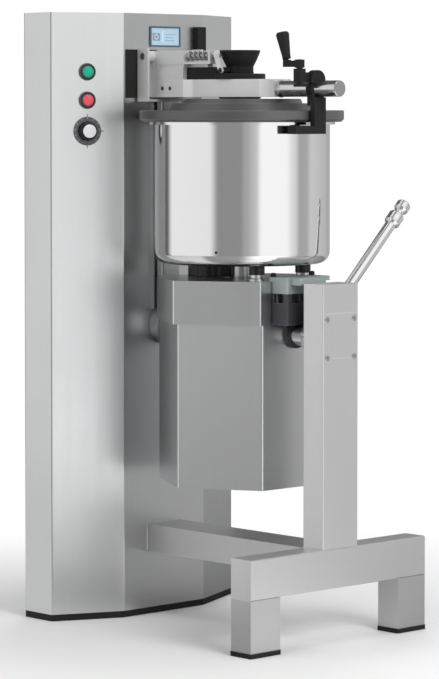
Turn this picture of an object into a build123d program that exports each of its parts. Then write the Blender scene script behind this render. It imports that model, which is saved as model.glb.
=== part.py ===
from build123d import *

import math
import os

# Free-standing vertical bowl cutter: a cabinet and a T-frame carry a tilting unit with the
# motor below and the bowl above; a hinged arm holds the lid, the feed funnel and the clamp.
# Frame: origin on the floor under the middle of the machine, +X from the cabinet to the
# T-frame, -Y towards the operator, +Z up. All sizes in millimetres.

# ---- driving dimensions ----------------------------------------------------------------
CABINET_HEIGHT = 1400
CABINET_DEPTH = 570
CABINET_FACE_X = -171
CABINET_BACK_X = -406
SIDE_FLAT = 250
CHAMFER_FRONT_X = 72
CHAMFER_BACK_X = 68
PLINTH_HEIGHT = 15
SHEET = 2

BOWL_X = 92
BOWL_RADIUS = 200
BOWL_RIM_RADIUS = 212
BOWL_FLOOR_Z = 830
BOWL_TOP_Z = 1150
BOWL_WALL = 3
BOWL_CORNER = 27

TILT_Z = 676
TRUNNION_RADIUS = 24
LEFT_TRUNNION_RADIUS = 22
RUNNING_GAP = 0.05

FRAME_FACE_X = 408
FRAME_TUBE = 62
FRAME_HALF_LENGTH = 273
LEG_DEPTH = 88
CROSS_BEAM_Z = (124, 212)
SPAR_Z = (148, 211)
SPAR_WIDTH = 108
POST_WIDTH = 110
POST_TOP_Z = 795
FRAME_WALL = 3
FOOT_HEIGHT = 10
FOOT_LIP = 2

CASING_HALF_WIDTH = 171
CASING_VERTEX = 197.5
HOOD_VERTEX = 212
CASING_Z = (333, 700)
HOOD_TOP_Z = 797

LID_RADIUS = 232
LID_TOP_Z = 1192
LID_STEP_Z = 1202
ARM_HALF_WIDTH = 50
ARM_Z = (1206, 1246)
ARM_END_X = 200
NOSE_X = (213, 220)
ARM_TUBE_RADIUS = 18
ARM_TUBE_Z = 1224
ARM_TUBE_END_X = 400
HINGE_X = -148
HINGE_Z = 1300
HINGE_PIN_RADIUS = 8
SPOUT_RADIUS = 30
FUNNEL_X = 86

LEVER_X = 329
LEVER_ANGLE = 45
LEVER_LENGTH = 408

POST_INNER_X = FRAME_FACE_X - FRAME_TUBE
CASING_LEFT_X = BOWL_X - CASING_HALF_WIDTH
CASING_RIGHT_X = BOWL_X + CASING_HALF_WIDTH

# Control panel plane on the front chamfer: u runs back along the chamfer, v up, w outwards.
CHAMFER_Y = (CABINET_DEPTH - SIDE_FLAT) / 2
PANEL = Plane(
    origin=(CABINET_FACE_X - CHAMFER_FRONT_X / 2, -(SIDE_FLAT + CHAMFER_Y) / 2, 0),
    x_dir=(CHAMFER_FRONT_X, CHAMFER_Y, 0),
    z_dir=(CHAMFER_Y, -CHAMFER_FRONT_X, 0),
)
START_Z = 1264
STOP_Z = 1199
KNOB_Z = 1128
BUTTON_HOLE_RADIUS = 14

# Cabinet openings and display.
SERVICE_OPENING = ((-95, 95), (140, 1230))
PANEL_LIMITS = ((-112, 112), (120, 1250))
DISPLAY_Y = (-45, 50)
DISPLAY_Z = (1323, 1371)
DISPLAY_FRAME = 3
DISPLAY_BEZEL = 4

# Bolts of the post's bearing.
BEARING_BOLT_Y = 42
BEARING_BOLT_Z = 42

# Motor, knife shaft and the bowl's centre tube.
MOTOR_RADIUS = 118
MOTOR_Z = (380, HOOD_TOP_Z - 15)
SHAFT_RADIUS = 20
SHAFT_TOP_Z = 932
TUBE_BORE = 22
TUBE_RADIUS = 27
TUBE_TOP_Z = 905
BELL_RADIUS = 38
BELL_Z = (846, 926)

# Supports between hood and bowl: a drum on the left and two buffers on the right.
DRUM_X = 6
DRUM_RADIUS = 64
DRUM_FLUTES = 8
FLUTE_RADIUS = 27.5
FLUTE_DEPTH = 3
BUFFER_X = 217
BUFFER_Y = 72
BUFFER_RADIUS = 17.5
BUFFER_SEAT = 13

# Bracket, riser and fork behind the bowl.
BRACKET_X = (255, 312)
BRACKET_Y = (-72, 64)
BRACKET_FLANGE = 10
BRACKET_POCKET_Z = (750, 771)
RISER_X = (-166, -146)
RISER_HALF_WIDTH = 28
RISER_TOP_Z = 1196
FORK_HALF_WIDTH = 87
FORK_TOP_Z = 1318
FORK_PLATE = 5

# Hinge box and latch on the arm.
ROOT_FRONT_X = -42
ROOT_BACK_X = -160
ROOT_HALF_WIDTH = 58
ROOT_TOP_Z = 1313
BARREL_RADIUS = 13
LATCH_HOUSING_X = (ROOT_FRONT_X, 60)
LATCH_HOUSING_TOP_Z = 1274
LATCH_Y = -44
LATCH_Z = 1300
LATCH_ROD_X = (-54, 56)
HOOK_X = (77.7, 80.7)
SPRING_RADIUS = 9
SPRING_WIRE = 2
SPRING_TURNS = 5
GUIDE_X = (42, 48)
THUMB_PIVOT = (81.8, 1266)
THUMB_TOP = (65.3, 1310)
THUMB_PIN_RADIUS = 3
THUMB_Y = (-58, -52)

# Feed funnel.
FLANGE_RADIUS = 58
FLANGE_THICKNESS = 13
FUNNEL_RIM_RADIUS = 46
FUNNEL_TOP_Z = 1312

# Clamp and its crank.
HEAD_X = (320, 338)
HEAD_HALF_WIDTH = 22
HEAD_Z = (1186, 1265)
LEG_X = (330, 344)
LEG_HALF_WIDTH = 17.5
JAW_RADIUS = 214
JAW_Z = (1124, 1142)
EAR_RADIUS = 13.5
EAR_Z = (1228, 1268)
SLIT_Z = (1235, 1237)
SCREW_RADIUS = 7
CRANK_AT = (317, -38)
CRANK_Z = (1270, 1288)
CRANK_REACH = 40
GRIP_LEAN = 14


# ---- small building blocks -------------------------------------------------------------
def block(x, y, z):
    """A box between two limits on each axis."""
    size = Box(x[1] - x[0], y[1] - y[0], z[1] - z[0])
    return Pos((x[0] + x[1]) / 2, (y[0] + y[1]) / 2, (z[0] + z[1]) / 2) * size


def rod_x(radius, x, y, z):
    """A cylinder along X between two limits."""
    return Pos((x[0] + x[1]) / 2, y, z) * Rot(0, 90, 0) * Cylinder(radius, x[1] - x[0])


def rod_y(radius, x, y, z):
    """A cylinder along Y between two limits."""
    return Pos(x, (y[0] + y[1]) / 2, z) * Rot(90, 0, 0) * Cylinder(radius, y[1] - y[0])


def rod_z(radius, x, y, z):
    """A cylinder along Z between two limits."""
    return Pos(x, y, (z[0] + z[1]) / 2) * Cylinder(radius, z[1] - z[0])


def prism(outline, z, inset=0):
    """A closed outline in plan, optionally inset, raised between two heights."""
    face = make_face(Polyline(*outline, close=True))
    if inset:
        face = offset(face, amount=-inset, kind=Kind.INTERSECTION)
    return Pos(0, 0, z[0]) * extrude(face, amount=z[1] - z[0])


def turned(profile, x=BOWL_X, y=0):
    """A closed (radius, height) profile revolved about a vertical axis."""
    face = make_face(Plane.XZ * Polyline(*profile, close=True))
    return Pos(x, y, 0) * revolve(face, axis=Axis.Z)


def soften(solid, axis, radius):
    """Round the edges that run along one axis."""
    return fillet(solid.edges().filter_by(axis), radius)


def square_tube(x, y, z, wall, along):
    """A rectangular tube, open at both ends along one axis."""
    inner = [(low + wall, high - wall) for low, high in (x, y, z)]
    index = {"x": 0, "y": 1, "z": 2}[along]
    inner[index] = ((x, y, z)[index][0] - 1, (x, y, z)[index][1] + 1)
    return block(x, y, z) - block(*inner)


# ---- cabinet ---------------------------------------------------------------------------
def cabinet_outline():
    """Plan of the cabinet: an octagon with a flat side, two chamfers and a flat front."""
    half = CABINET_DEPTH / 2
    flat = SIDE_FLAT / 2
    front = CABINET_FACE_X - CHAMFER_FRONT_X
    back = CABINET_BACK_X + CHAMFER_BACK_X
    rear_half = [(CABINET_FACE_X, flat), (front, half), (back, half), (CABINET_BACK_X, flat)]
    return rear_half + [(x, -y) for x, y in reversed(rear_half)]


def cabinet_shell():
    """Folded sheet cabinet with cut-outs for the controls, the trunnion and the back cover."""
    outline = cabinet_outline()
    shell = soften(prism(outline, (PLINTH_HEIGHT, CABINET_HEIGHT)), Axis.Z, 6)
    shell -= prism(outline, (PLINTH_HEIGHT - 1, CABINET_HEIGHT - SHEET), inset=SHEET)
    (y0, y1), (z0, z1) = DISPLAY_Y, DISPLAY_Z
    cut = DISPLAY_FRAME
    face = (CABINET_FACE_X - 3, CABINET_FACE_X + 1)
    shell -= block(face, (y0 + cut, y1 - cut), (z0 + cut, z1 - cut))
    shell -= rod_x(LEFT_TRUNNION_RADIUS + 4, face, 0, TILT_Z)
    shell -= block((CABINET_BACK_X - 1, CABINET_BACK_X + 3), *SERVICE_OPENING)
    for height in (START_Z, STOP_Z):
        shell -= PANEL * Pos(0, height, 0) * Cylinder(BUTTON_HOLE_RADIUS, 10)
    shell -= PANEL * Pos(0, KNOB_Z, 0) * Cylinder(5, 10)
    return shell


def service_panel():
    """Back cover with two banks of ventilation slots."""
    panel = block((CABINET_BACK_X - SHEET, CABINET_BACK_X), *PANEL_LIMITS)
    slot = Box(6, 70, 7)
    for bank_z in (240, 1080):
        for row in range(6):
            for side in (-42, 42):
                panel -= Pos(CABINET_BACK_X, side, bank_z + row * 18) * slot
    return panel


def cover_screws():
    """Button-head screws: four in the back cover and four in the post's bearing."""
    (y0, y1), (z0, z1) = PANEL_LIMITS
    screws = []
    for y in (y0 + 8, y1 - 8):
        for z in (z0 + 10, z1 - 10):
            head = rod_x(6.5, (CABINET_BACK_X - SHEET - 2, CABINET_BACK_X - SHEET), y, z)
            screws.append(chamfer(head.edges().group_by(Axis.X)[0], 1))
    for y in (-BEARING_BOLT_Y, BEARING_BOLT_Y):
        for z in (TILT_Z - BEARING_BOLT_Z, TILT_Z + BEARING_BOLT_Z):
            shank = rod_x(5, (FRAME_FACE_X - FRAME_WALL, FRAME_FACE_X), y, z)
            head = rod_x(6.5, (FRAME_FACE_X, FRAME_FACE_X + 2), y, z)
            screws.append(shank + chamfer(head.edges().group_by(Axis.X)[-1], 1))
    return Part() + screws


def display_bezel():
    """Black frame of the display, with a collar through the sheet."""
    (y0, y1), (z0, z1) = DISPLAY_Y, DISPLAY_Z
    cut = DISPLAY_FRAME
    bezel = soften(block((CABINET_FACE_X, CABINET_FACE_X + 3), DISPLAY_Y, DISPLAY_Z), Axis.X, 3)
    bezel += block((CABINET_FACE_X - 10, CABINET_FACE_X), (y0 + cut, y1 - cut), (z0 + cut, z1 - cut))
    cut = DISPLAY_BEZEL
    depth = (CABINET_FACE_X - 11, CABINET_FACE_X + 4)
    return bezel - block(depth, (y0 + cut, y1 - cut), (z0 + cut, z1 - cut))


def display_lens():
    """Display module behind its clear lens."""
    (y0, y1), (z0, z1) = DISPLAY_Y, DISPLAY_Z
    cut = DISPLAY_BEZEL
    return block((CABINET_FACE_X - 8, CABINET_FACE_X + 1), (y0 + cut, y1 - cut), (z0 + cut, z1 - cut))


def lid_sensor():
    """Housing of the switch that tells whether the lid is down."""
    body = block((CABINET_FACE_X, CABINET_FACE_X + 16), (93, 119), (1316, 1371))
    return soften(body, Axis.X, 2)


def rub_pad():
    """Black pad on the cabinet beside the lid hinge."""
    return block((CABINET_FACE_X, CABINET_FACE_X + 2), (-119, -24), (1204, 1316))


def on_panel(profile, height):
    """A (radius, outward) profile turned about the panel normal at one height."""
    face = make_face(Plane.XZ * Polyline(*profile, close=True))
    return PANEL * Pos(0, height, 0) * revolve(face, axis=Axis.Z)


def button_bezels():
    """Two round bezels with a threaded neck through the sheet."""
    neck = BUTTON_HOLE_RADIUS
    bore = neck - 1.5
    profile = [(bore, -26), (neck, -26), (neck, 0), (20, 0), (20, 3), (18, 5.5), (bore, 5.5)]
    return on_panel(profile, START_Z) + on_panel(profile, STOP_Z)


def button_cap(height):
    """Push button: domed cap on its plunger."""
    radius = BUTTON_HOLE_RADIUS - 1.5 - RUNNING_GAP
    profile = [(0, -12), (radius, -12), (radius, 8.5), (radius - 1.5, 10), (6, 10.8), (0, 11)]
    return on_panel(profile, height)


def switch_gear():
    """Behind the panel: a contact block for each button and the knob's potentiometer."""
    blocks = [PANEL * Pos(0, height, -46) * Box(28, 34, 40) for height in (START_Z, STOP_Z)]
    body = PANEL * Pos(0, KNOB_Z, -20) * Cylinder(14, 36)
    body -= PANEL * Pos(0, KNOB_Z, -6) * Cylinder(5, 18)
    return Part() + blocks + body


def dial_plate():
    """Flat round scale plate under the speed knob."""
    return on_panel([(5, 0), (33, 0), (33, 1), (32.5, 1.5), (5, 1.5)], KNOB_Z)


def speed_knob():
    """Speed knob: fluted skirt, pointer rib and a spindle into the potentiometer."""
    knob = on_panel([(0, 2), (23, 2), (22.5, 6), (18.5, 18), (16.5, 19.5), (0, 19.5)], KNOB_Z)
    for step in range(12):
        angle = math.radians(step * 30 + 15)
        u, v = 24.5 * math.cos(angle), 24.5 * math.sin(angle)
        knob -= PANEL * Pos(u, KNOB_Z + v, 11) * Cylinder(3.5, 30)
    spindle = PANEL * Pos(0, KNOB_Z, -6) * Cylinder(5 - RUNNING_GAP, 17)
    return knob + spindle


def knob_cap():
    """Bright cap pressed on the knob."""
    return on_panel([(0, 19.5), (15.5, 19.5), (15.5, 21), (14.5, 22), (0, 22.4)], KNOB_Z)


def electrics_tray():
    """Channel behind the back cover that carries the electrics."""
    tray = block((CABINET_BACK_X + SHEET, -300), (-104, 104), (400, 1000))
    return tray - block((CABINET_BACK_X, -302), (-102, 102), (399, 1001))


def speed_inverter():
    """Motor drive with a finned cooler."""
    body = block((-372, -302), (-75, 75), (650, 900))
    for fin in range(9):
        y = -64 + fin * 16
        body += block((-392, -372), (y - 2, y + 2), (660, 890))
    return body


# ---- T-frame ---------------------------------------------------------------------------
def frame_x():
    """Limits of the T-frame's tubes along X."""
    return (POST_INNER_X, FRAME_FACE_X)


def cross_beam():
    """Beam across the two feet, closed at its ends and open into the legs."""
    y = (-FRAME_HALF_LENGTH, FRAME_HALF_LENGTH)
    low, high = CROSS_BEAM_Z
    wall = FRAME_WALL
    beam = soften(block(frame_x(), y, CROSS_BEAM_Z), Axis.Y, 3)
    inside_x = (POST_INNER_X + wall, FRAME_FACE_X - wall)
    beam -= block(inside_x, (y[0] + wall, y[1] - wall), (low + wall, high - wall))
    for side in (-1, 1):
        middle = side * (FRAME_HALF_LENGTH - LEG_DEPTH / 2)
        beam -= block(inside_x, (middle - 38, middle + 38), (low - 1, low + wall + 1))
    return beam


def leg_ends(side):
    """Limits along Y of one leg of the T-frame."""
    return sorted((side * (FRAME_HALF_LENGTH - LEG_DEPTH), side * FRAME_HALF_LENGTH))


def frame_legs():
    """Two legs of the T-frame, upright tubes under the ends of the cross beam."""
    z = (FOOT_HEIGHT, CROSS_BEAM_Z[0])
    return Part() + [square_tube(frame_x(), leg_ends(side), z, FRAME_WALL, "z") for side in (-1, 1)]


def rubber_feet():
    """Two rubber shoes under the legs."""
    shoes = []
    for side in (-1, 1):
        ends = leg_ends(side)
        x = (POST_INNER_X - FOOT_LIP, FRAME_FACE_X + FOOT_LIP)
        shoe = block(x, (ends[0] - FOOT_LIP, ends[1] + FOOT_LIP), (0, FOOT_HEIGHT))
        shoes.append(soften(shoe, Axis.Z, 4))
    return Part() + shoes


def floor_spar():
    """Flat tube that ties the cabinet to the T-frame near the floor."""
    half = SPAR_WIDTH / 2
    return square_tube((CABINET_FACE_X, POST_INNER_X), (-half, half), SPAR_Z, FRAME_WALL, "x")


def trunnion_post():
    """Post with a closed top, a clearance hole for the trunnion and four bolt holes."""
    half = POST_WIDTH / 2
    z = (CROSS_BEAM_Z[1], POST_TOP_Z)
    post = soften(block(frame_x(), (-half, half), z), Axis.Z, 3)
    inside_y = (-half + FRAME_WALL, half - FRAME_WALL)
    inside_x = (POST_INNER_X + FRAME_WALL, FRAME_FACE_X - FRAME_WALL)
    post -= block(inside_x, inside_y, (z[0] - 1, z[1] - FRAME_WALL))
    post -= rod_x(TRUNNION_RADIUS + 4, (POST_INNER_X - 1, POST_INNER_X + 5), 0, TILT_Z)
    for y in (-BEARING_BOLT_Y, BEARING_BOLT_Y):
        for z_bolt in (TILT_Z - BEARING_BOLT_Z, TILT_Z + BEARING_BOLT_Z):
            post -= rod_x(5, (FRAME_FACE_X - 5, FRAME_FACE_X + 1), y, z_bolt)
    return post


def post_bearing():
    """Bearing block bolted inside the post."""
    half = POST_WIDTH / 2 - FRAME_WALL
    x = (POST_INNER_X + FRAME_WALL, FRAME_FACE_X - FRAME_WALL)
    bearing = block(x, (-half, half), (TILT_Z - 52, TILT_Z + 52))
    bearing -= rod_x(TRUNNION_RADIUS + RUNNING_GAP, (x[0] - 1, x[1] - 8), 0, TILT_Z)
    return bearing


def cabinet_bearing():
    """Flanged bearing in the cabinet wall for the left trunnion."""
    flange = rod_x(45, (CABINET_FACE_X, CABINET_FACE_X + 3.5), 0, TILT_Z)
    barrel = rod_x(LEFT_TRUNNION_RADIUS + 4, (CABINET_FACE_X - 2, CABINET_FACE_X), 0, TILT_Z)
    housing = rod_x(42, (CABINET_FACE_X - 40, CABINET_FACE_X - 2), 0, TILT_Z)
    bore = rod_x(LEFT_TRUNNION_RADIUS + RUNNING_GAP, (CABINET_FACE_X - 36, CABINET_FACE_X + 5), 0, TILT_Z)
    return flange + barrel + housing - bore


# ---- tilting unit ----------------------------------------------------------------------
def casing_outline(front_vertex):
    """Six-sided plan of the motor casing, one corner towards the operator."""
    side = CASING_VERTEX / 2
    front_side = side * front_vertex / CASING_VERTEX
    left, right = CASING_LEFT_X, CASING_RIGHT_X
    front = [(left, -front_side), (BOWL_X, -front_vertex), (right, -front_side)]
    return front + [(right, side), (BOWL_X, CASING_VERTEX), (left, side)]


def motor_casing():
    """Lower casing: six-sided folded sheet, open at the top, with cooling slots below."""
    outline = casing_outline(CASING_VERTEX)
    casing = soften(prism(outline, CASING_Z), Axis.Z, 5)
    casing -= prism(outline, (CASING_Z[0] + SHEET, CASING_Z[1] + 1), inset=SHEET)
    for row in range(-4, 5):
        casing -= Pos(BOWL_X, row * 24, CASING_Z[0]) * Box(180, 9, 10)
    return casing


def casing_hood():
    """Upper hood that overhangs the casing in front, with two turned seats on its top."""
    outline = casing_outline(HOOD_VERTEX)
    low, high = CASING_Z[1], HOOD_TOP_Z
    hood = soften(prism(outline, (low, high)), Axis.Z, 5)
    hood -= prism(outline, (low + 3, high - 3), inset=3)
    hood -= prism(outline, (low - 1, low + 4), inset=26)
    seat_radius = BUFFER_RADIUS + 2
    neck = BUFFER_RADIUS - 2
    seat = [(0, high - 1), (seat_radius, high - 1), (seat_radius, high + 4), (neck, high + 6)]
    seat += [(neck, high + BUFFER_SEAT), (0, high + BUFFER_SEAT)]
    for y in (-BUFFER_Y, BUFFER_Y):
        hood += turned(seat, BUFFER_X, y)
    return hood - rod_z(46, BOWL_X, 0, (high - 4, high + 1))


def motor_plate():
    """Thick plate inside the hood that the motor hangs from."""
    plate = prism(casing_outline(HOOD_VERTEX), (HOOD_TOP_Z - 15, HOOD_TOP_Z - 3), inset=6)
    return plate - rod_z(42, BOWL_X, 0, (HOOD_TOP_Z - 16, HOOD_TOP_Z))


def drive_motor():
    """Flanged motor with cooling ribs and a fan cowl, bored for the knife shaft."""
    low, high = MOTOR_Z
    body = rod_z(MOTOR_RADIUS - 14, BOWL_X, 0, (low + 46, high))
    body += rod_z(MOTOR_RADIUS + 20, BOWL_X, 0, (high - 16, high))
    cowl = MOTOR_RADIUS - 6
    body += turned([(0, low), (88, low), (cowl, low + 22), (cowl, low + 46), (0, low + 46)])
    for step in range(24):
        fin = Pos(MOTOR_RADIUS - 10, 0, (low + high) / 2 + 10) * Box(16, 4, high - low - 90)
        body += Pos(BOWL_X, 0, 0) * Rot(0, 0, step * 15) * fin
    return body - rod_z(SHAFT_RADIUS + RUNNING_GAP, BOWL_X, 0, (high - 160, high + 1))


def shaft_bearing():
    """Ball bearing race in the motor plate round the knife shaft."""
    ring = rod_z(42, BOWL_X, 0, (HOOD_TOP_Z - 15, HOOD_TOP_Z - 3))
    return ring - rod_z(SHAFT_RADIUS + RUNNING_GAP, BOWL_X, 0, (HOOD_TOP_Z - 16, HOOD_TOP_Z))


def bowl():
    """Spun bowl with a rolled corner, a flat rim and a centre tube for the knife shaft."""
    floor, top = BOWL_FLOOR_Z, BOWL_TOP_Z
    wall, corner = BOWL_WALL, BOWL_CORNER
    outer, inner = BOWL_RADIUS, BOWL_RADIUS - BOWL_WALL
    flat = outer - corner
    rim_under = top - 6
    knee = math.sqrt(0.5)
    with BuildPart() as shell:
        with BuildSketch(Plane.XZ):
            with BuildLine():
                Polyline((TUBE_BORE, floor), (flat, floor))
                mid_outer = (flat + corner * knee, floor + corner - corner * knee)
                ThreePointArc((flat, floor), mid_outer, (outer, floor + corner))
                Polyline((outer, floor + corner), (outer, rim_under), (BOWL_RIM_RADIUS, rim_under))
                Polyline((BOWL_RIM_RADIUS, rim_under), (BOWL_RIM_RADIUS, top), (inner, top))
                Line((inner, top), (inner, floor + corner))
                reach = (corner - wall) * knee
                mid_inner = (flat + reach, floor + corner - reach)
                ThreePointArc((inner, floor + corner), mid_inner, (flat, floor + wall))
                Polyline((flat, floor + wall), (36, floor + wall), (TUBE_RADIUS, floor + 12))
                Polyline((TUBE_RADIUS, floor + 12), (TUBE_RADIUS, TUBE_TOP_Z), (TUBE_BORE, TUBE_TOP_Z))
                Line((TUBE_BORE, TUBE_TOP_Z), (TUBE_BORE, floor))
            make_face()
        revolve(axis=Axis.Z)
    return Pos(BOWL_X, 0, 0) * shell.part


def tube_bush():
    """Bush in the bowl's centre tube that the knife shaft runs in."""
    bush = rod_z(TUBE_BORE, BOWL_X, 0, (BOWL_FLOOR_Z, TUBE_TOP_Z))
    return bush - rod_z(SHAFT_RADIUS + RUNNING_GAP, BOWL_X, 0, (BOWL_FLOOR_Z - 1, TUBE_TOP_Z + 1))


def main_buffers():
    """Fluted rubber drum under the left of the bowl and two round buffers under its right."""
    low, high = HOOD_TOP_Z, BOWL_FLOOR_Z
    rim = DRUM_RADIUS
    profile = [(0, low), (rim - 1, low), (rim, low + 1), (rim, high - 1), (rim - 1, high), (0, high)]
    drum = turned(profile, DRUM_X)
    flute_at = rim - FLUTE_DEPTH + FLUTE_RADIUS
    for step in range(DRUM_FLUTES):
        angle = 2 * math.pi * step / DRUM_FLUTES
        x, y = DRUM_X + flute_at * math.cos(angle), flute_at * math.sin(angle)
        drum -= rod_z(FLUTE_RADIUS, x, y, (low + 4, high - 4))
    start = low + BUFFER_SEAT
    radius = BUFFER_RADIUS
    profile = [(0, start), (radius, start), (radius, high - 2), (radius - 2, high), (0, high)]
    return Part() + [drum] + [turned(profile, BUFFER_X, y) for y in (-BUFFER_Y, BUFFER_Y)]


def small_buffers():
    """Small rubber stop knobs on the bracket's flange."""
    low = HOOD_TOP_Z + BRACKET_FLANGE
    profile = [(0, low), (6.5, low), (6.5, low + 6), (4.5, low + 9), (0, low + 9)]
    return Part() + [turned(profile, BRACKET_X[0] + 7.5, y) for y in (-65, 55)]


def left_trunnion():
    """Left trunnion: bolting flange on the casing and shaft into the cabinet's bearing."""
    flange = rod_x(62, (CASING_LEFT_X - 12, CASING_LEFT_X), 0, TILT_Z)
    cone = Pos(CASING_LEFT_X - 27, 0, TILT_Z) * Rot(0, 90, 0) * Cone(LEFT_TRUNNION_RADIUS, 40, 30)
    shaft = rod_x(LEFT_TRUNNION_RADIUS, (CABINET_FACE_X - 34, CASING_LEFT_X - 12), 0, TILT_Z)
    return flange + cone + shaft


def lid_riser():
    """Upright arm from the left trunnion to the lid hinge, close behind the bowl."""
    half = RISER_HALF_WIDTH
    riser = soften(block(RISER_X, (-half, half), (TILT_Z, RISER_TOP_Z)), Axis.Z, 4)
    riser += rod_x(46, RISER_X, 0, TILT_Z)
    riser += block((RISER_X[1], CASING_LEFT_X), (-20, 20), (742, 790))
    return riser - rod_x(LEFT_TRUNNION_RADIUS, (RISER_X[0] - 1, RISER_X[1] + 1), 0, TILT_Z)


def hinge_fork():
    """Fork on top of the riser: a back plate, a foot and two square cheeks."""
    half = FORK_HALF_WIDTH
    back = block((-166, -162), (-half, half), (RISER_TOP_Z, 1296))
    foot = block((-166, -132), (-half, half), (RISER_TOP_Z, RISER_TOP_Z + 5))
    fork = back + foot
    for side in (-1, 1):
        cheek_y = sorted((side * (half - FORK_PLATE), side * half))
        cheek = block((-166, -130), cheek_y, (RISER_TOP_Z, FORK_TOP_Z))
        fork += fillet(cheek.edges().filter_by(Axis.Y).group_by(Axis.Z)[-1], 4)
    return fork - rod_y(HINGE_PIN_RADIUS, HINGE_X, (-100, 100), HINGE_Z)


def hinge_pin():
    """Hinge pin of the lid arm, nearly flush in front and with a head behind."""
    half = FORK_HALF_WIDTH
    pin = rod_y(HINGE_PIN_RADIUS, HINGE_X, (-half - 1, half), HINGE_Z)
    return pin + rod_y(12, HINGE_X, (half, half + 5), HINGE_Z)


def trunnion_casting():
    """Cast bracket on the right of the hood: flange, ribbed pockets and trunnion boss."""
    x0 = CASING_RIGHT_X
    right = BRACKET_X[1]
    front = BRACKET_Y[0]
    body = soften(block((x0, right), (front, 34), (702, HOOD_TOP_Z)), Axis.Z, 6)
    for pocket_x in ((x0 + 8, 278), (283, 302)):
        body -= block(pocket_x, (front - 1, front + 11), BRACKET_POCKET_Z)
    for pocket_y in ((-58, -34), (-29, -5), (0, 22)):
        body -= block((right - 9, right + 1), pocket_y, BRACKET_POCKET_Z)
    flange_z = (HOOD_TOP_Z, HOOD_TOP_Z + BRACKET_FLANGE)
    top = soften(block(BRACKET_X, BRACKET_Y, flange_z), Axis.Z, 3)
    top += soften(block((296, 341), (-60, 24), flange_z), Axis.Z, 6)
    lip = block((x0, 341), (-60, 22), (HOOD_TOP_Z - 6, HOOD_TOP_Z))
    boss = rod_x(31, (x0, x0 + 8), 0, TILT_Z)
    rib = block((x0, x0 + 8), (-31, 31), (TILT_Z, 702))
    casting = body + top + lip + boss + rib
    return casting - rod_x(TRUNNION_RADIUS, (x0 - 1, 345), 0, TILT_Z)


def right_trunnion():
    """Right trunnion shaft, from the casing into the post's bearing."""
    shaft = rod_x(TRUNNION_RADIUS, (CASING_RIGHT_X, FRAME_FACE_X - 14), 0, TILT_Z)
    return chamfer(shaft.edges().group_by(Axis.X)[-1], 2)


def lever_hub():
    """Split hub that clamps the tilt lever on the right trunnion."""
    hub = rod_x(36, (LEVER_X - 12, LEVER_X + 12), 0, TILT_Z)
    socket = Pos(0, 0, 46) * Cylinder(14.5, 34)
    hub += Pos(LEVER_X, 0, TILT_Z) * Rot(-LEVER_ANGLE, 0, 0) * socket
    hub -= rod_x(TRUNNION_RADIUS, (LEVER_X - 20, LEVER_X + 20), 0, TILT_Z)
    x = (LEVER_X - 13, LEVER_X + 13)
    hub -= block(x, (-40, -20), (TILT_Z - 1.5, TILT_Z + 1.5))
    bore = Pos(0, 0, 46) * Cylinder(12.5, 36)
    return hub - Pos(LEVER_X, 0, TILT_Z) * Rot(-LEVER_ANGLE, 0, 0) * bore


def along_lever(profile):
    """A (radius, distance from the tilt axis) profile turned about the lever's axis."""
    face = make_face(Plane.XZ * Polyline(*profile, close=True))
    lever = revolve(face, axis=Axis.Z)
    return Pos(LEVER_X, 0, TILT_Z) * Rot(-LEVER_ANGLE, 0, 0) * lever


def tilt_lever():
    """Round bar with a spool-shaped grip: two barrels with a neck between them."""
    end = LEVER_LENGTH
    profile = [(0, 29), (12.5, 29), (12.5, 341), (14, 341), (18, 346), (18, 368), (15, 373)]
    profile += [(10.5, 376), (10.5, 381), (14, 384), (16.5, 388), (16.5, end - 5)]
    profile += [(13, end - 1), (8, end), (0, end)]
    return along_lever(profile)


# ---- knife rotor -----------------------------------------------------------------------
def knife_shaft():
    """Shaft from the motor through the bowl's centre tube."""
    return rod_z(SHAFT_RADIUS, BOWL_X, 0, (MOTOR_Z[1] - 150, SHAFT_TOP_Z))


def knife_bell():
    """Bell-shaped carrier that covers the centre tube and sits on the shaft's end."""
    low, high = BELL_Z
    outline = [(30, low), (BELL_RADIUS, low), (BELL_RADIUS, high - 6), (BELL_RADIUS - 6, high)]
    outline += [(SHAFT_RADIUS, high), (SHAFT_RADIUS, 910), (30, 910)]
    return turned(outline)


def sickle(reach, bevel):
    """Plan of one sickle-shaped blade; bevel draws the cutting edge back."""
    root = BELL_RADIUS + 2
    edge = ThreePointArc((root - 6, -22 + bevel), (reach * 0.62, -34 + bevel), (reach, 34 - bevel * 0.3))
    tip = Line((reach, 34 - bevel * 0.3), (reach * 0.93, 46))
    back = ThreePointArc((reach * 0.93, 46), (reach * 0.55, 0), (root - 6, 22))
    close = Line((root - 6, 22), (root - 6, -22 + bevel))
    return make_face([edge, tip, back, close])


def knife_pair(reach, z, turn):
    """Two opposite sickle blades with a bevelled edge on a common ring."""
    thick = 5
    ring = rod_z(BELL_RADIUS + 8, 0, 0, (z, z + 10))
    pair = ring
    for half_turn in (0, 180):
        flat = Pos(0, 0, z + 2) * extrude(sickle(reach, 0), amount=thick * 0.25)
        start = Pos(0, 0, z + 2 + thick * 0.25) * sickle(reach, 0)
        bevel = loft([start, Pos(0, 0, z + 2 + thick) * sickle(reach, 9)])
        pair += Rot(0, 0, half_turn) * (flat + bevel)
    pair -= rod_z(BELL_RADIUS, 0, 0, (z - 5, z + 20))
    return Pos(BOWL_X, 0, 0) * Rot(0, 0, turn) * pair


def knife_nut():
    """Domed nut with two flats that holds the rotor on its shaft."""
    seat, top = BELL_Z[1], SHAFT_TOP_Z
    profile = [(0, top), (SHAFT_RADIUS, top), (SHAFT_RADIUS, seat), (31, seat), (31, top + 12)]
    nut = turned(profile + [(22, top + 22), (0, top + 26)])
    for side in (-1, 1):
        nut -= block((BOWL_X - 40, BOWL_X + 40), sorted((side * 26, side * 40)), (932, 960))
    return nut


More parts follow.
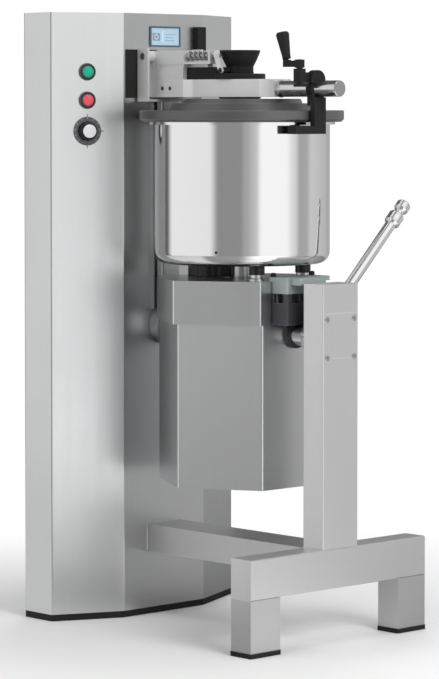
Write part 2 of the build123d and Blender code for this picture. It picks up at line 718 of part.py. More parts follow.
# ---- lid -------------------------------------------------------------------------------
def lid_disc():
    """Turned lid with two raised steps, a chamfered skirt and a hole for the spout."""
    low = BOWL_TOP_Z
    hub_under, step_under = LID_TOP_Z - 6, LID_STEP_Z - 6
    profile = [(0, hub_under), (62, hub_under), (66, step_under), (124, step_under)]
    profile += [(128, hub_under), (142, hub_under), (150, low + 3), (218, low + 3), (218, low)]
    profile += [(226, low), (LID_RADIUS, low + 6), (LID_RADIUS, low + 24)]
    profile += [(LID_RADIUS - 2, low + 26), (164, low + 26), (159, LID_TOP_Z), (138, LID_TOP_Z)]
    profile += [(134, LID_STEP_Z), (0, LID_STEP_Z)]
    lid = turned(profile)
    lid -= rod_z(53, FUNNEL_X, 0, (LID_TOP_Z, LID_STEP_Z + 1))
    return lid - rod_z(SPOUT_RADIUS, FUNNEL_X, 0, (LID_TOP_Z - 20, LID_TOP_Z + 1))


def lid_seal():
    """Rubber ring under the lid that meets the bowl's rim."""
    low = BOWL_TOP_Z
    return turned([(199, low + 0.3), (211, low + 0.3), (211, low + 3), (199, low + 3)])


def arm_section(x, half_width, low, high):
    """Upright rectangle across the arm between two heights."""
    plane = Plane((x, 0, (low + high) / 2), x_dir=(0, 1, 0), z_dir=(1, 0, 0))
    return plane * Rectangle(2 * half_width, high - low)


def lid_arm():
    """Lid arm, wide at the hinge, with a tapered nose that the round bar is welded to."""
    half, root = ARM_HALF_WIDTH, ROOT_HALF_WIDTH
    low, high = ARM_Z
    side = [(ROOT_BACK_X, -root), (ROOT_FRONT_X, -root), (ROOT_FRONT_X + 24, -half)]
    side += [(ARM_END_X, -half)]
    arm = prism(side + [(x, -y) for x, y in reversed(side)], ARM_Z)
    arm -= block((ROOT_BACK_X - 1, ARM_END_X - 8), (-half + 3, half - 3), (low + 3, high - 3))
    middle, end = NOSE_X
    bar_low, bar_high = ARM_TUBE_Z - ARM_TUBE_RADIUS, ARM_TUBE_Z + ARM_TUBE_RADIUS
    sections = [
        arm_section(ARM_END_X, half, low, high),
        arm_section(middle, 30, low, high),
        arm_section(end, 21, bar_low, bar_high),
    ]
    for start, finish in zip(sections, sections[1:]):
        arm += loft([start, finish])
    return arm - rod_z(SPOUT_RADIUS, FUNNEL_X, 0, (low - 1, high + 1))


def arm_tube():
    """Round bar on the arm's nose: the clamp slides on it."""
    start, end = NOSE_X[1], ARM_TUBE_END_X
    tube = rod_x(ARM_TUBE_RADIUS, (start, end), 0, ARM_TUBE_Z)
    return tube - rod_x(ARM_TUBE_RADIUS - 4, (start + 1, end + 1), 0, ARM_TUBE_Z)


def tube_cap():
    """Steel plug with a chamfered rim in the end of the bar."""
    plug = rod_x(ARM_TUBE_RADIUS - 4, (ARM_TUBE_END_X - 12, ARM_TUBE_END_X), 0, ARM_TUBE_Z)
    rim = rod_x(ARM_TUBE_RADIUS, (ARM_TUBE_END_X, ARM_TUBE_END_X + 5), 0, ARM_TUBE_Z)
    return plug + chamfer(rim.edges().group_by(Axis.X)[-1], 1.5)


def arm_root():
    """Hinge end of the arm: a folded box with a groove, on a barrel round the pin."""
    half = ROOT_HALF_WIDTH
    top = ROOT_TOP_Z
    root = block((HINGE_X, ROOT_FRONT_X), (-half, half), (ARM_Z[1], top))
    root += block((ROOT_BACK_X, HINGE_X), (-half, half), (ARM_Z[1], HINGE_Z))
    inside_x = (HINGE_X + 18, ROOT_FRONT_X - 4)
    root -= block(inside_x, (-half + 4, half - 4), (ARM_Z[1] - 1, top - 4))
    for side in (-1, 1):
        groove_y = sorted((side * (half - 3), side * (half + 1)))
        root -= block((HINGE_X + 20, ROOT_FRONT_X + 1), groove_y, (1275, 1281))
    root += rod_y(BARREL_RADIUS, HINGE_X, (-78, 78), HINGE_Z)
    root -= rod_y(HINGE_PIN_RADIUS + RUNNING_GAP, HINGE_X, (-90, 90), HINGE_Z)
    root -= rod_x(6, (ROOT_FRONT_X - 5, ROOT_FRONT_X + 1), LATCH_Y, LATCH_Z)
    return root + spring_guide()


def feed_funnel():
    """Moulded feed funnel: cone, round flange on the arm, spout and boss above the lid."""
    bore = SPOUT_RADIUS - 5
    neck = SPOUT_RADIUS + 1
    low, high = LID_TOP_Z - 12, FUNNEL_TOP_Z
    base = ARM_Z[1] + FLANGE_THICKNESS
    rim = FUNNEL_RIM_RADIUS
    cone = [(SPOUT_RADIUS, low), (SPOUT_RADIUS, base), (neck, base), (neck, 1275)]
    cone += [(39, 1291), (rim, high - 4), (rim, high)]
    cone += [(rim - 3, high), (36, 1291), (bore, 1273), (bore, low)]
    wide = FLANGE_RADIUS
    arm_low, arm_high = ARM_Z
    plate = [(0, arm_high), (wide, arm_high), (wide, base - 2), (wide - 2, base), (0, base)]
    flange = turned(plate, FUNNEL_X)
    boss = turned([(0, LID_TOP_Z), (36, LID_TOP_Z), (49, arm_low), (0, arm_low)], FUNNEL_X)
    solid = flange + boss - rod_z(SPOUT_RADIUS - 1, FUNNEL_X, 0, (LID_TOP_Z - 1, base + 1))
    pivot_x, pivot_z = THUMB_PIVOT
    stud = rod_y(6, pivot_x, (THUMB_Y[1] + 0.5, -28), pivot_z)
    pin = rod_y(THUMB_PIN_RADIUS, pivot_x, (THUMB_Y[0] - 2, -40), pivot_z)
    return solid + turned(cone, FUNNEL_X) + stud + pin


def latch_housing():
    """Black housing on the arm between the hinge box and the funnel's neck."""
    low, high = ARM_Z[1], LATCH_HOUSING_TOP_Z
    base = low + FLANGE_THICKNESS
    housing = block(LATCH_HOUSING_X, (-46, 46), (low, high))
    housing -= rod_z(FLANGE_RADIUS, FUNNEL_X, 0, (low - 1, base))
    return housing - rod_z(SPOUT_RADIUS + 3, FUNNEL_X, 0, (base - 1, high + 1))


def spring_guide():
    """Angled plate welded to the hinge box that carries the far end of the latch rod."""
    y = (-ROOT_HALF_WIDTH, -30)
    shelf = block((ROOT_FRONT_X, GUIDE_X[1]), y, (1281, 1286))
    stand = block((20, 28), (-46, -30), (LATCH_HOUSING_TOP_Z, 1281))
    upright = block(GUIDE_X, y, (1286, ROOT_TOP_Z))
    guide = shelf + stand + upright
    return guide - rod_x(6, (GUIDE_X[0] - 1, GUIDE_X[1] + 1), LATCH_Y, LATCH_Z)


def latch_spring():
    """Compression spring of eight-sided wire round the latch rod."""
    length = GUIDE_X[0] - ROOT_FRONT_X - 2 * SPRING_WIRE - 1
    path = Helix(pitch=length / SPRING_TURNS, height=length, radius=SPRING_RADIUS)
    section = Plane(origin=path @ 0, z_dir=path % 0) * RegularPolygon(SPRING_WIRE, 8)
    coil = sweep(section, path=path, is_frenet=True)
    start = ROOT_FRONT_X + SPRING_WIRE + 0.5
    return Pos(start, LATCH_Y, LATCH_Z) * Rot(0, 90, 0) * coil


def latch_rod():
    """Sliding latch rod with a finger that ends in a hook for the thumb lever."""
    rod = rod_x(6 - RUNNING_GAP, LATCH_ROD_X, LATCH_Y, LATCH_Z)
    finger_y = (THUMB_Y[1] + 0.5, THUMB_Y[1] + 4)
    height = (LATCH_Z - 3, LATCH_Z + 3)
    finger = block((LATCH_ROD_X[1] - 6, HOOK_X[1]), finger_y, height)
    hook = block(HOOK_X, (THUMB_Y[0], finger_y[1]), height)
    return rod + finger + hook


def thumb_lever():
    """Slanted release lever beside the funnel: its edge pushes the rod's hook."""
    low, top = Vector(*THUMB_PIVOT), Vector(*THUMB_TOP)
    along = (top - low).normalized()
    across = Vector(along.Y, -along.X) * 7.5
    outline = [(low.X - 6, low.Y - 2), (low.X - 3, low.Y - 6), (low.X + 3, low.Y - 6)]
    outline += [(low.X + 6, low.Y - 2)]
    upper = [top + across - along * 3, top + across * 0.6, top - across * 0.6, top - across - along * 3]
    outline += [(point.X, point.Y) for point in upper]
    face = make_face(Plane.XZ.offset(-THUMB_Y[0]) * Polyline(*outline, close=True))
    lever = extrude(face, amount=THUMB_Y[0] - THUMB_Y[1])
    return lever - rod_y(THUMB_PIN_RADIUS + RUNNING_GAP, low.X, (-70, -50), low.Y)


def clamp_head():
    """Head on the bar: rounded top, and a slit ear in front for the pinch screw."""
    low, high = HEAD_Z
    half = HEAD_HALF_WIDTH
    x, y = CRANK_AT
    head = rod_x(half, HEAD_X, 0, high - half)
    head += rod_x(half, HEAD_X, 0, ARM_TUBE_Z)
    head += block(HEAD_X, (-half, half), (ARM_TUBE_Z, high - half))
    head += block(HEAD_X, (-LEG_HALF_WIDTH, LEG_HALF_WIDTH), (low, ARM_TUBE_Z))
    head += rod_z(EAR_RADIUS, x, y, EAR_Z)
    head += block((HEAD_X[0] - 2, x + EAR_RADIUS), (y, 0), (EAR_Z[0], EAR_Z[1] - 8))
    head -= rod_x(ARM_TUBE_RADIUS + RUNNING_GAP, (HEAD_X[0] - 3, HEAD_X[1] + 1), 0, ARM_TUBE_Z)
    head -= block((x - 15, HEAD_X[1] + 1), (y - 15, -5), SLIT_Z)
    return head - rod_z(SCREW_RADIUS + RUNNING_GAP, x, y, (EAR_Z[0] - 1, EAR_Z[1] + 1))


def clamp_body():
    """Clamp: head on the bar, leg outside the lid and a curved jaw under the rim."""
    bar_low = ARM_TUBE_Z - ARM_TUBE_RADIUS - 1
    leg = block(LEG_X, (-LEG_HALF_WIDTH, LEG_HALF_WIDTH), (JAW_Z[0], bar_low))
    jaw_face = make_face(Polyline((0, 0), (300, -82), (300, 21), close=True))
    ring = Circle(LEG_X[1] - BOWL_X) - Circle(JAW_RADIUS)
    jaw = Pos(BOWL_X, 0, JAW_Z[0]) * extrude(jaw_face & ring, amount=JAW_Z[1] - JAW_Z[0])
    return clamp_head() + leg + jaw


def grip_place():
    """Foot of the grip on the crank, leaning away from the screw."""
    return Pos(CRANK_AT[0] - CRANK_REACH, CRANK_AT[1], CRANK_Z[1]) * Rot(0, -GRIP_LEAN, 0)


def clamp_crank():
    """Pinch screw with its cranked arm and the pin for the grip."""
    x, y = CRANK_AT
    low, high = CRANK_Z
    screw = rod_z(SCREW_RADIUS, x, y, (EAR_Z[0] + 1, low))
    hub = rod_z(11, x, y, CRANK_Z)
    end = rod_z(9, x - CRANK_REACH, y, (low + 2, high))
    arm = block((x - CRANK_REACH, x), (y - 7.5, y + 7.5), (low + 2, high - 2))
    pin = grip_place() * Pos(0, 0, 24) * Cylinder(4, 60)
    return screw + hub + end + arm + pin


def crank_grip():
    """Tapered grip that turns on the crank's pin."""
    bore = 4 + RUNNING_GAP
    profile = [(bore, 2.5), (9.5, 2.5), (9.5, 10), (13.5, 46), (14.8, 58), (12.5, 62), (0, 63)]
    profile += [(0, 56), (bore, 56)]
    face = make_face(Plane.XZ * Polyline(*profile, close=True))
    return grip_place() * revolve(face, axis=Axis.Z)


# ---- all pieces ------------------------------------------------------------------------
def build_all():
    """Every piece of the machine by its name."""
    return {
        "cabinet_shell": cabinet_shell(),
        "cabinet_plinth": prism(cabinet_outline(), (0, PLINTH_HEIGHT), inset=1),
        "service_panel": service_panel(),
        "cover_screws": cover_screws(),
        "display_bezel": display_bezel(),
        "display_lens": display_lens(),
        "lid_sensor": lid_sensor(),
        "rub_pad": rub_pad(),
        "button_bezels": button_bezels(),
        "start_button": button_cap(START_Z),
        "stop_button": button_cap(STOP_Z),
        "switch_gear": switch_gear(),
        "dial_plate": dial_plate(),
        "speed_knob": speed_knob(),
        "knob_cap": knob_cap(),
        "electrics_tray": electrics_tray(),
        "speed_inverter": speed_inverter(),
        "cross_beam": cross_beam(),
        "frame_legs": frame_legs(),
        "rubber_feet": rubber_feet(),
        "floor_spar": floor_spar(),
        "trunnion_post": trunnion_post(),
        "post_bearing": post_bearing(),
        "cabinet_bearing": cabinet_bearing(),
        "motor_casing": motor_casing(),
        "casing_hood": casing_hood(),
        "motor_plate": motor_plate(),
        "drive_motor": drive_motor(),
        "shaft_bearing": shaft_bearing(),
        "bowl": bowl(),
        "tube_bush": tube_bush(),
        "main_buffers": main_buffers(),
        "small_buffers": small_buffers(),
        "left_trunnion": left_trunnion(),
        "lid_riser": lid_riser(),
        "hinge_fork": hinge_fork(),
        "hinge_pin": hinge_pin(),
        "trunnion_casting": trunnion_casting(),
        "right_trunnion": right_trunnion(),
        "lever_hub": lever_hub(),
        "tilt_lever": tilt_lever(),
        "knife_shaft": knife_shaft(),
        "knife_bell": knife_bell(),
        "lower_knives": knife_pair(180, 848, 20),
        "upper_knives": knife_pair(186, 892, 110),
        "knife_nut": knife_nut(),
        "lid_disc": lid_disc(),
        "lid_seal": lid_seal(),
        "lid_arm": lid_arm(),
        "arm_tube": arm_tube(),
        "tube_cap": tube_cap(),
        "arm_root": arm_root(),
        "feed_funnel": feed_funnel(),
        "latch_housing": latch_housing(),
        "latch_spring": latch_spring(),
        "latch_rod": latch_rod(),
        "thumb_lever": thumb_lever(),
        "clamp_body": clamp_body(),
        "clamp_crank": clamp_crank(),
        "crank_grip": crank_grip(),
    }


os.makedirs("parts", exist_ok=True)
for part_name, solid in build_all().items():
    export_step(solid, f"parts/{part_name}.step")
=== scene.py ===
import logging
import math
from collections.abc import Iterable
from dataclasses import dataclass, replace
from enum import Enum
from typing import ClassVar

import bmesh
import bpy
from mathutils import Euler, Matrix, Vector


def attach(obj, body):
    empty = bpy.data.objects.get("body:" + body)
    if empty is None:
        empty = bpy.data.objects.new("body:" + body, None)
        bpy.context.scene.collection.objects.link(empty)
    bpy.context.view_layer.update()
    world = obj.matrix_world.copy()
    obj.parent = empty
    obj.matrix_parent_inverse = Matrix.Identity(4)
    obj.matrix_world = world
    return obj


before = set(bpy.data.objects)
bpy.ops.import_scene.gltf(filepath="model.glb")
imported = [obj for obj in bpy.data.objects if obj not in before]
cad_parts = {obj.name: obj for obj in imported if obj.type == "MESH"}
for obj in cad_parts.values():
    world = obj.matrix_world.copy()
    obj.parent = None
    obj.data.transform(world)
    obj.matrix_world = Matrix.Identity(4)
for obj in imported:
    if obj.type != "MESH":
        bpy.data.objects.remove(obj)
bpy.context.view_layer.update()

LOG = logging.getLogger("bowl_cutter")
MM = 0.001

BMesh = bmesh.types.BMesh
Ring = list[bmesh.types.BMVert]
Node = bpy.types.Node
Socket = bpy.types.NodeSocket
Colour = tuple[float, float, float]
Point = tuple[float, float, float]
Pair = tuple[float, float]
Profile = list[Pair]

EAST: Point = (1.0, 0.0, 0.0)
NORTH: Point = (0.0, 1.0, 0.0)
SOUTH: Point = (0.0, -1.0, 0.0)
UP: Point = (0.0, 0.0, 1.0)


class Grain(Enum):
    """Direction of brushed or turned lines: how fast they vary along each axis, per metre."""

    UPRIGHT = (900.0, 900.0, 5.0)
    ALONG_X = (5.0, 900.0, 900.0)
    ALONG_Y = (900.0, 5.0, 900.0)
    TURNED_Z = (6.0, 6.0, 1100.0)
    TURNED_X = (1100.0, 6.0, 6.0)
    LEANING = (700.0, 120.0, 120.0)
    EVEN = (420.0, 420.0, 420.0)


# ---- shader building ---------------------------------------------------------------------
@dataclass
class ShaderTree:
    """A node tree that is filled node by node.

    Attributes:
        tree: the material's, world's or group's node tree.
    """

    tree: bpy.types.NodeTree

    def add(self, kind: str, feeds: dict[str | int, object] | None = None, **settings: object) -> Node:
        """Add one node, set its properties and feed its inputs.

        Args:
            kind: Blender's node type name.
            feeds: a socket or a constant for each input, by its name or number.
            **settings: properties of the node, by name.

        Returns:
            The new node.
        """
        node = self.tree.nodes.new(kind)
        for name, value in settings.items():
            setattr(node, name, value)
        for key, value in (feeds or {}).items():
            if isinstance(value, Socket):
                self.tree.links.new(value, node.inputs[key])
            else:
                node.inputs[key].default_value = value
        return node

    def work_out(self, operation: str, first: object, second: object) -> Socket:
        """Add a Math node.

        Args:
            operation: the node's operation.
            first: a socket or a number.
            second: a socket or a number.

        Returns:
            The node's output.
        """
        return self.add("ShaderNodeMath", {0: first, 1: second}, operation=operation).outputs[0]

    def blend(self, mask: Socket, low: object, high: object) -> Socket:
        """Mix two colours by a mask.

        Args:
            mask: factor from 0 (low) to 1 (high).
            low: colour socket or colour.
            high: colour socket or colour.

        Returns:
            The mixed colour.
        """
        ends = {6: low, 7: high}
        ends = {key: end if isinstance(end, Socket) else (*end, 1.0) for key, end in ends.items()}
        return self.add("ShaderNodeMix", {0: mask, **ends}, data_type="RGBA").outputs[2]

    def span(self, value: Socket, low: float, high: float, start: float = 0.0, end: float = 1.0) -> Socket:
        """Stretch a range of a value to another range.

        Args:
            value: what is stretched.
            low: result at the start of the range.
            high: result at its end.
            start: where the range starts.
            end: where it ends.

        Returns:
            The stretched value.
        """
        feeds = {"Value": value, "From Min": start, "From Max": end, "To Min": low, "To Max": high}
        return self.add("ShaderNodeMapRange", feeds).outputs["Result"]

    def place(self, coordinates: str = "Object") -> Socket:
        """Add a Texture Coordinate node.

        Args:
            coordinates: the output that is wanted.

        Returns:
            That output.
        """
        return self.add("ShaderNodeTexCoord").outputs[coordinates]


def emptied_tree(owner: bpy.types.Material | bpy.types.World) -> ShaderTree:
    """Clear the nodes that a new material or world starts with.

    Args:
        owner: the material or world.

    Returns:
        Its tree.
    """
    owner.use_nodes = True
    owner.node_tree.nodes.clear()
    return ShaderTree(owner.node_tree)


def new_group(name: str, inputs: dict[str, tuple[str, object]], outputs: tuple[str, ...]) -> ShaderTree:
    """Make an empty shader group with named sockets.

    Args:
        name: the group's name.
        inputs: socket name to its socket type and default value.
        outputs: names of the masks that it gives.

    Returns:
        The group's tree, with its input node named "in".
    """
    tree = bpy.data.node_groups.new(name, "ShaderNodeTree")
    for label, (kind, default) in inputs.items():
        socket = tree.interface.new_socket(name=label, in_out="INPUT", socket_type=kind)
        socket.default_value = default
    for label in outputs:
        tree.interface.new_socket(name=label, in_out="OUTPUT", socket_type="NodeSocketFloat")
    group = ShaderTree(tree)
    group.add("NodeGroupInput", name="in")
    return group


class Effects:
    """Shader groups that several finishes share, each built once.

    Attributes:
        drift_scale: scale of the variation along the lines, as a share of the lines' own.
        speck_scale: scale of the specks, as a multiple of the patches' own.
        break_scale: scale of the breaks in a rubbed edge, per metre.
        edge_gain: how fast an edge turns into a rubbed one.
    """

    drift_scale: ClassVar[float] = 0.06
    speck_scale: ClassVar[float] = 60.0
    break_scale: ClassVar[float] = 70.0
    edge_gain: ClassVar[float] = 9.0

    def __init__(self) -> None:
        """Build the three groups."""
        self.grain = self._grain()
        self.cloud = self._cloud()
        self.wear = self._wear()

    def _grain(self) -> bpy.types.NodeTree:
        """Fine parallel lines, broken by a slower variation along them.

        Returns:
            Group with inputs Stretch and Detail and outputs Lines and Drift.
        """
        inputs = {
            "Stretch": ("NodeSocketVector", Grain.UPRIGHT.value),
            "Detail": ("NodeSocketFloat", 3.0),
        }
        group = new_group("brushed_lines", inputs, ("Lines", "Drift"))
        start = group.tree.nodes["in"].outputs
        factors = {0: group.place(), 1: start["Stretch"]}
        stretch = group.add("ShaderNodeVectorMath", factors, operation="MULTIPLY").outputs[0]
        fine = {"Vector": stretch, "Scale": 1.0, "Detail": start["Detail"], "Roughness": 0.65}
        lines = group.add("ShaderNodeTexNoise", fine)
        shrunk = {0: stretch, "Scale": self.drift_scale}
        slower = group.add("ShaderNodeVectorMath", shrunk, operation="SCALE")
        drift = group.add("ShaderNodeTexNoise", {"Vector": slower.outputs[0], "Scale": 1.0, "Detail": 2.0})
        group.add("NodeGroupOutput", {"Lines": lines.outputs["Fac"], "Drift": drift.outputs["Fac"]})
        return group.tree

    def _cloud(self) -> bpy.types.NodeTree:
        """Soft patches such as wiped smears and handling marks.

        Returns:
            Group with input Size and outputs Patches and Specks.
        """
        inputs = {"Size": ("NodeSocketFloat", 9.0)}
        group = new_group("wiped_patches", inputs, ("Patches", "Specks"))
        size = group.tree.nodes["in"].outputs["Size"]
        place = group.place()
        soft = {"Vector": place, "Scale": size, "Detail": 4.0, "Distortion": 0.8}
        patches = group.add("ShaderNodeTexNoise", soft)
        finer = group.work_out("MULTIPLY", size, self.speck_scale)
        specks = group.add("ShaderNodeTexNoise", {"Vector": place, "Scale": finer, "Detail": 2.0})
        group.add("NodeGroupOutput", {"Patches": patches.outputs["Fac"], "Specks": specks.outputs["Fac"]})
        return group.tree

    def _wear(self) -> bpy.types.NodeTree:
        """Mask that is 1 on rubbed edges and 0 on flat ground.

        Returns:
            Group with inputs Width and Amount and output Edge.
        """
        inputs = {"Width": ("NodeSocketFloat", 0.0015), "Amount": ("NodeSocketFloat", 1.0)}
        group = new_group("rubbed_edges", inputs, ("Edge",))
        start = group.tree.nodes["in"].outputs
        rounded = group.add("ShaderNodeBevel", {"Radius": start["Width"]}, samples=4).outputs["Normal"]
        flat = group.add("ShaderNodeNewGeometry").outputs["Normal"]
        facing = group.add("ShaderNodeVectorMath", {0: rounded, 1: flat}, operation="DOT_PRODUCT")
        turned_away = group.work_out("SUBTRACT", 1.0, facing.outputs["Value"])
        breaks = group.add("ShaderNodeTexNoise", {"Vector": group.place(), "Scale": self.break_scale})
        stronger = group.work_out("MULTIPLY", turned_away, self.edge_gain)
        broken = group.work_out("MULTIPLY", stronger, breaks.outputs["Fac"])
        scaled = group.work_out("MULTIPLY", broken, start["Amount"])
        limit = group.add("ShaderNodeClamp", {"Value": scaled})
        group.add("NodeGroupOutput", {"Edge": limit.outputs[0]})
        return group.tree


# ---- finishes ----------------------------------------------------------------------------
@dataclass(frozen=True)
class Finish:
    """How one kind of surface looks.

    Attributes:
        name: the material's name.
        colour: base colour.
        shade: colour that the grain and the patches run to.
        metallic: 1 for bare metal, 0 for everything else.
        roughness: lowest and highest roughness.
        grain: direction of the brushed or turned lines.
        depth: how strongly the lines change the colour.
        bump: height of the lines, in metres.
        patches: number of wiped patches per metre.
        worn: colour of rubbed edges.
        wear: how much the edges are rubbed, from 0 to 1.
        wear_width: width of a rubbed edge, in metres.
        specular: strength of the gloss of a surface that isn't metal.
        patch_depth: how strongly the wiped patches change the colour.
        bump_strength: share of the bump's height that is used.
    """

    name: str
    colour: Colour
    shade: Colour
    metallic: float = 0.0
    roughness: Pair = (0.4, 0.5)
    grain: Grain = Grain.EVEN
    depth: float = 0.4
    bump: float = 0.00002
    patches: float = 30.0
    worn: Colour = (0.8, 0.8, 0.8)
    wear: float = 0.4
    wear_width: float = 0.0015
    specular: float = 0.5
    patch_depth: ClassVar[float] = 0.35
    bump_strength: ClassVar[float] = 0.6

    def build(self, effects: Effects) -> bpy.types.Material:
        """Make the material.

        Args:
            effects: the shared shader groups.

        Returns:
            The finished material.
        """
        material = bpy.data.materials.new(self.name)
        tree = emptied_tree(material)
        shader = tree.add("ShaderNodeBsdfPrincipled", self._feeds(tree, effects))
        tree.add("ShaderNodeOutputMaterial", {"Surface": shader.outputs[0]})
        return material

    def _ground(self, tree: ShaderTree, mask: Socket) -> Socket:
        """Colour between the rubbed edges.

        Args:
            tree: the material's tree.
            mask: where the grain and the patches are, from 0 to 1.

        Returns:
            The colour of the ground.
        """
        return tree.blend(mask, self.colour, self.shade)

    def _feeds(self, tree: ShaderTree, effects: Effects) -> dict[str, object]:
        """Work out what goes into the shader.

        Args:
            tree: the material's tree.
            effects: the shared shader groups.

        Returns:
            A socket or a constant for each input of the Principled shader that is used.
        """
        grain = tree.add("ShaderNodeGroup", node_tree=effects.grain)
        grain.inputs["Stretch"].default_value = self.grain.value
        cloud = tree.add("ShaderNodeGroup", node_tree=effects.cloud)
        cloud.inputs["Size"].default_value = self.patches
        edge = tree.add("ShaderNodeGroup", node_tree=effects.wear)
        edge.inputs["Width"].default_value = self.wear_width
        edge.inputs["Amount"].default_value = self.wear
        lines = tree.span(grain.outputs["Lines"], 0.0, self.depth)
        patches = tree.span(cloud.outputs["Patches"], 0.0, self.patch_depth)
        ground = self._ground(tree, tree.work_out("ADD", lines, patches))
        both = tree.work_out("ADD", grain.outputs["Drift"], cloud.outputs["Patches"])
        height = tree.work_out("ADD", grain.outputs["Lines"], cloud.outputs["Specks"])
        relief = {"Distance": self.bump, "Strength": self.bump_strength, "Height": height}
        return {
            "Base Color": tree.blend(edge.outputs["Edge"], ground, self.worn),
            "Metallic": self.metallic,
            "Roughness": tree.span(tree.work_out("MULTIPLY", both, 0.5), *self.roughness),
            "Specular IOR Level": self.specular,
            "Normal": tree.add("ShaderNodeBump", relief).outputs["Normal"],
        }


@dataclass(frozen=True)
class SplitFinish(Finish):
    """A casting that is lighter above one height and darker below it.

    Attributes:
        upper: colour above the split.
        upper_shade: colour that its grain runs to.
        split: height where the lighter part begins, in metres.
        blur: half the height of the step between the two parts, in metres.
    """

    upper: Colour = (0.5, 0.5, 0.5)
    upper_shade: Colour = (0.4, 0.4, 0.4)
    split: float = 0.771
    blur: float = 0.0006

    def _ground(self, tree: ShaderTree, mask: Socket) -> Socket:
        """Colour between the rubbed edges, with the lighter part above the split.

        Args:
            tree: the material's tree.
            mask: where the grain and the patches are, from 0 to 1.

        Returns:
            The colour of the ground.
        """
        # lighter above the split height and darker below it
        lower_tone = tree.blend(mask, self.colour, self.shade)
        upper_tone = tree.blend(mask, self.upper, self.upper_shade)
        height = tree.add("ShaderNodeSeparateXYZ", {0: tree.place()}).outputs["Z"]
        above = tree.span(height, 0.0, 1.0, self.split - self.blur, self.split + self.blur)
        return tree.blend(above, lower_tone, upper_tone)


def grey(level: float) -> Colour:
    """Neutral grey.

    Args:
        level: its level, from 0 to 1.

    Returns:
        The colour.
    """
    return (level, level, level)


def printed_mark(name: str, colour: Colour, shade: Colour) -> Finish:
    """Thin printed or engraved mark without worn edges.

    Args:
        name: the finish's name.
        colour: base colour.
        shade: colour that the patches run to.

    Returns:
        The finish.
    """
    return Finish(
        name, colour, shade, roughness=(0.4, 0.55), bump=0.00001, worn=colour, wear=0.0, wear_width=0.0005,
    )


SHEET = Finish(
    "sheet_upright", (0.81, 0.815, 0.82), (0.68, 0.685, 0.69), metallic=1.0, roughness=(0.24, 0.38),
    grain=Grain.UPRIGHT, depth=0.45, patches=3.0, worn=(0.86, 0.87, 0.88), wear=0.35,
)
SATIN_SHADE = 0.87
SATIN = Finish(
    "satin_upright", grey(0.76), grey(SATIN_SHADE * 0.76), metallic=0.8, roughness=(0.34, 0.46),
    grain=Grain.UPRIGHT, patches=5.0, worn=(0.92, 0.92, 0.93), wear=0.35,
)
POLISHED = Finish(
    "polished_bar", (0.74, 0.74, 0.745), (0.61, 0.61, 0.62), metallic=1.0, roughness=(0.12, 0.22),
    grain=Grain.TURNED_X, depth=0.35, bump=0.000008, patches=12.0, worn=grey(0.93), wear=0.2,
)
MILLED = Finish(
    "arm_steel", grey(0.88), grey(0.77), metallic=0.6, roughness=(0.34, 0.46), grain=Grain.ALONG_X,
    patches=8.0, worn=grey(0.9),
)
MOULDED = Finish(
    "black_plastic", (0.009, 0.009, 0.01), (0.02, 0.02, 0.022), roughness=(0.4, 0.6), depth=0.7,
    bump=0.00006, patches=14.0, worn=(0.06, 0.06, 0.062), wear=0.25, specular=0.22,
)
BUTTON = Finish(
    "green_button", (0.0, 0.42, 0.25), (0.0, 0.33, 0.19), roughness=(0.2, 0.32), worn=(0.12, 0.6, 0.42),
    wear=0.3, wear_width=0.0008,
)
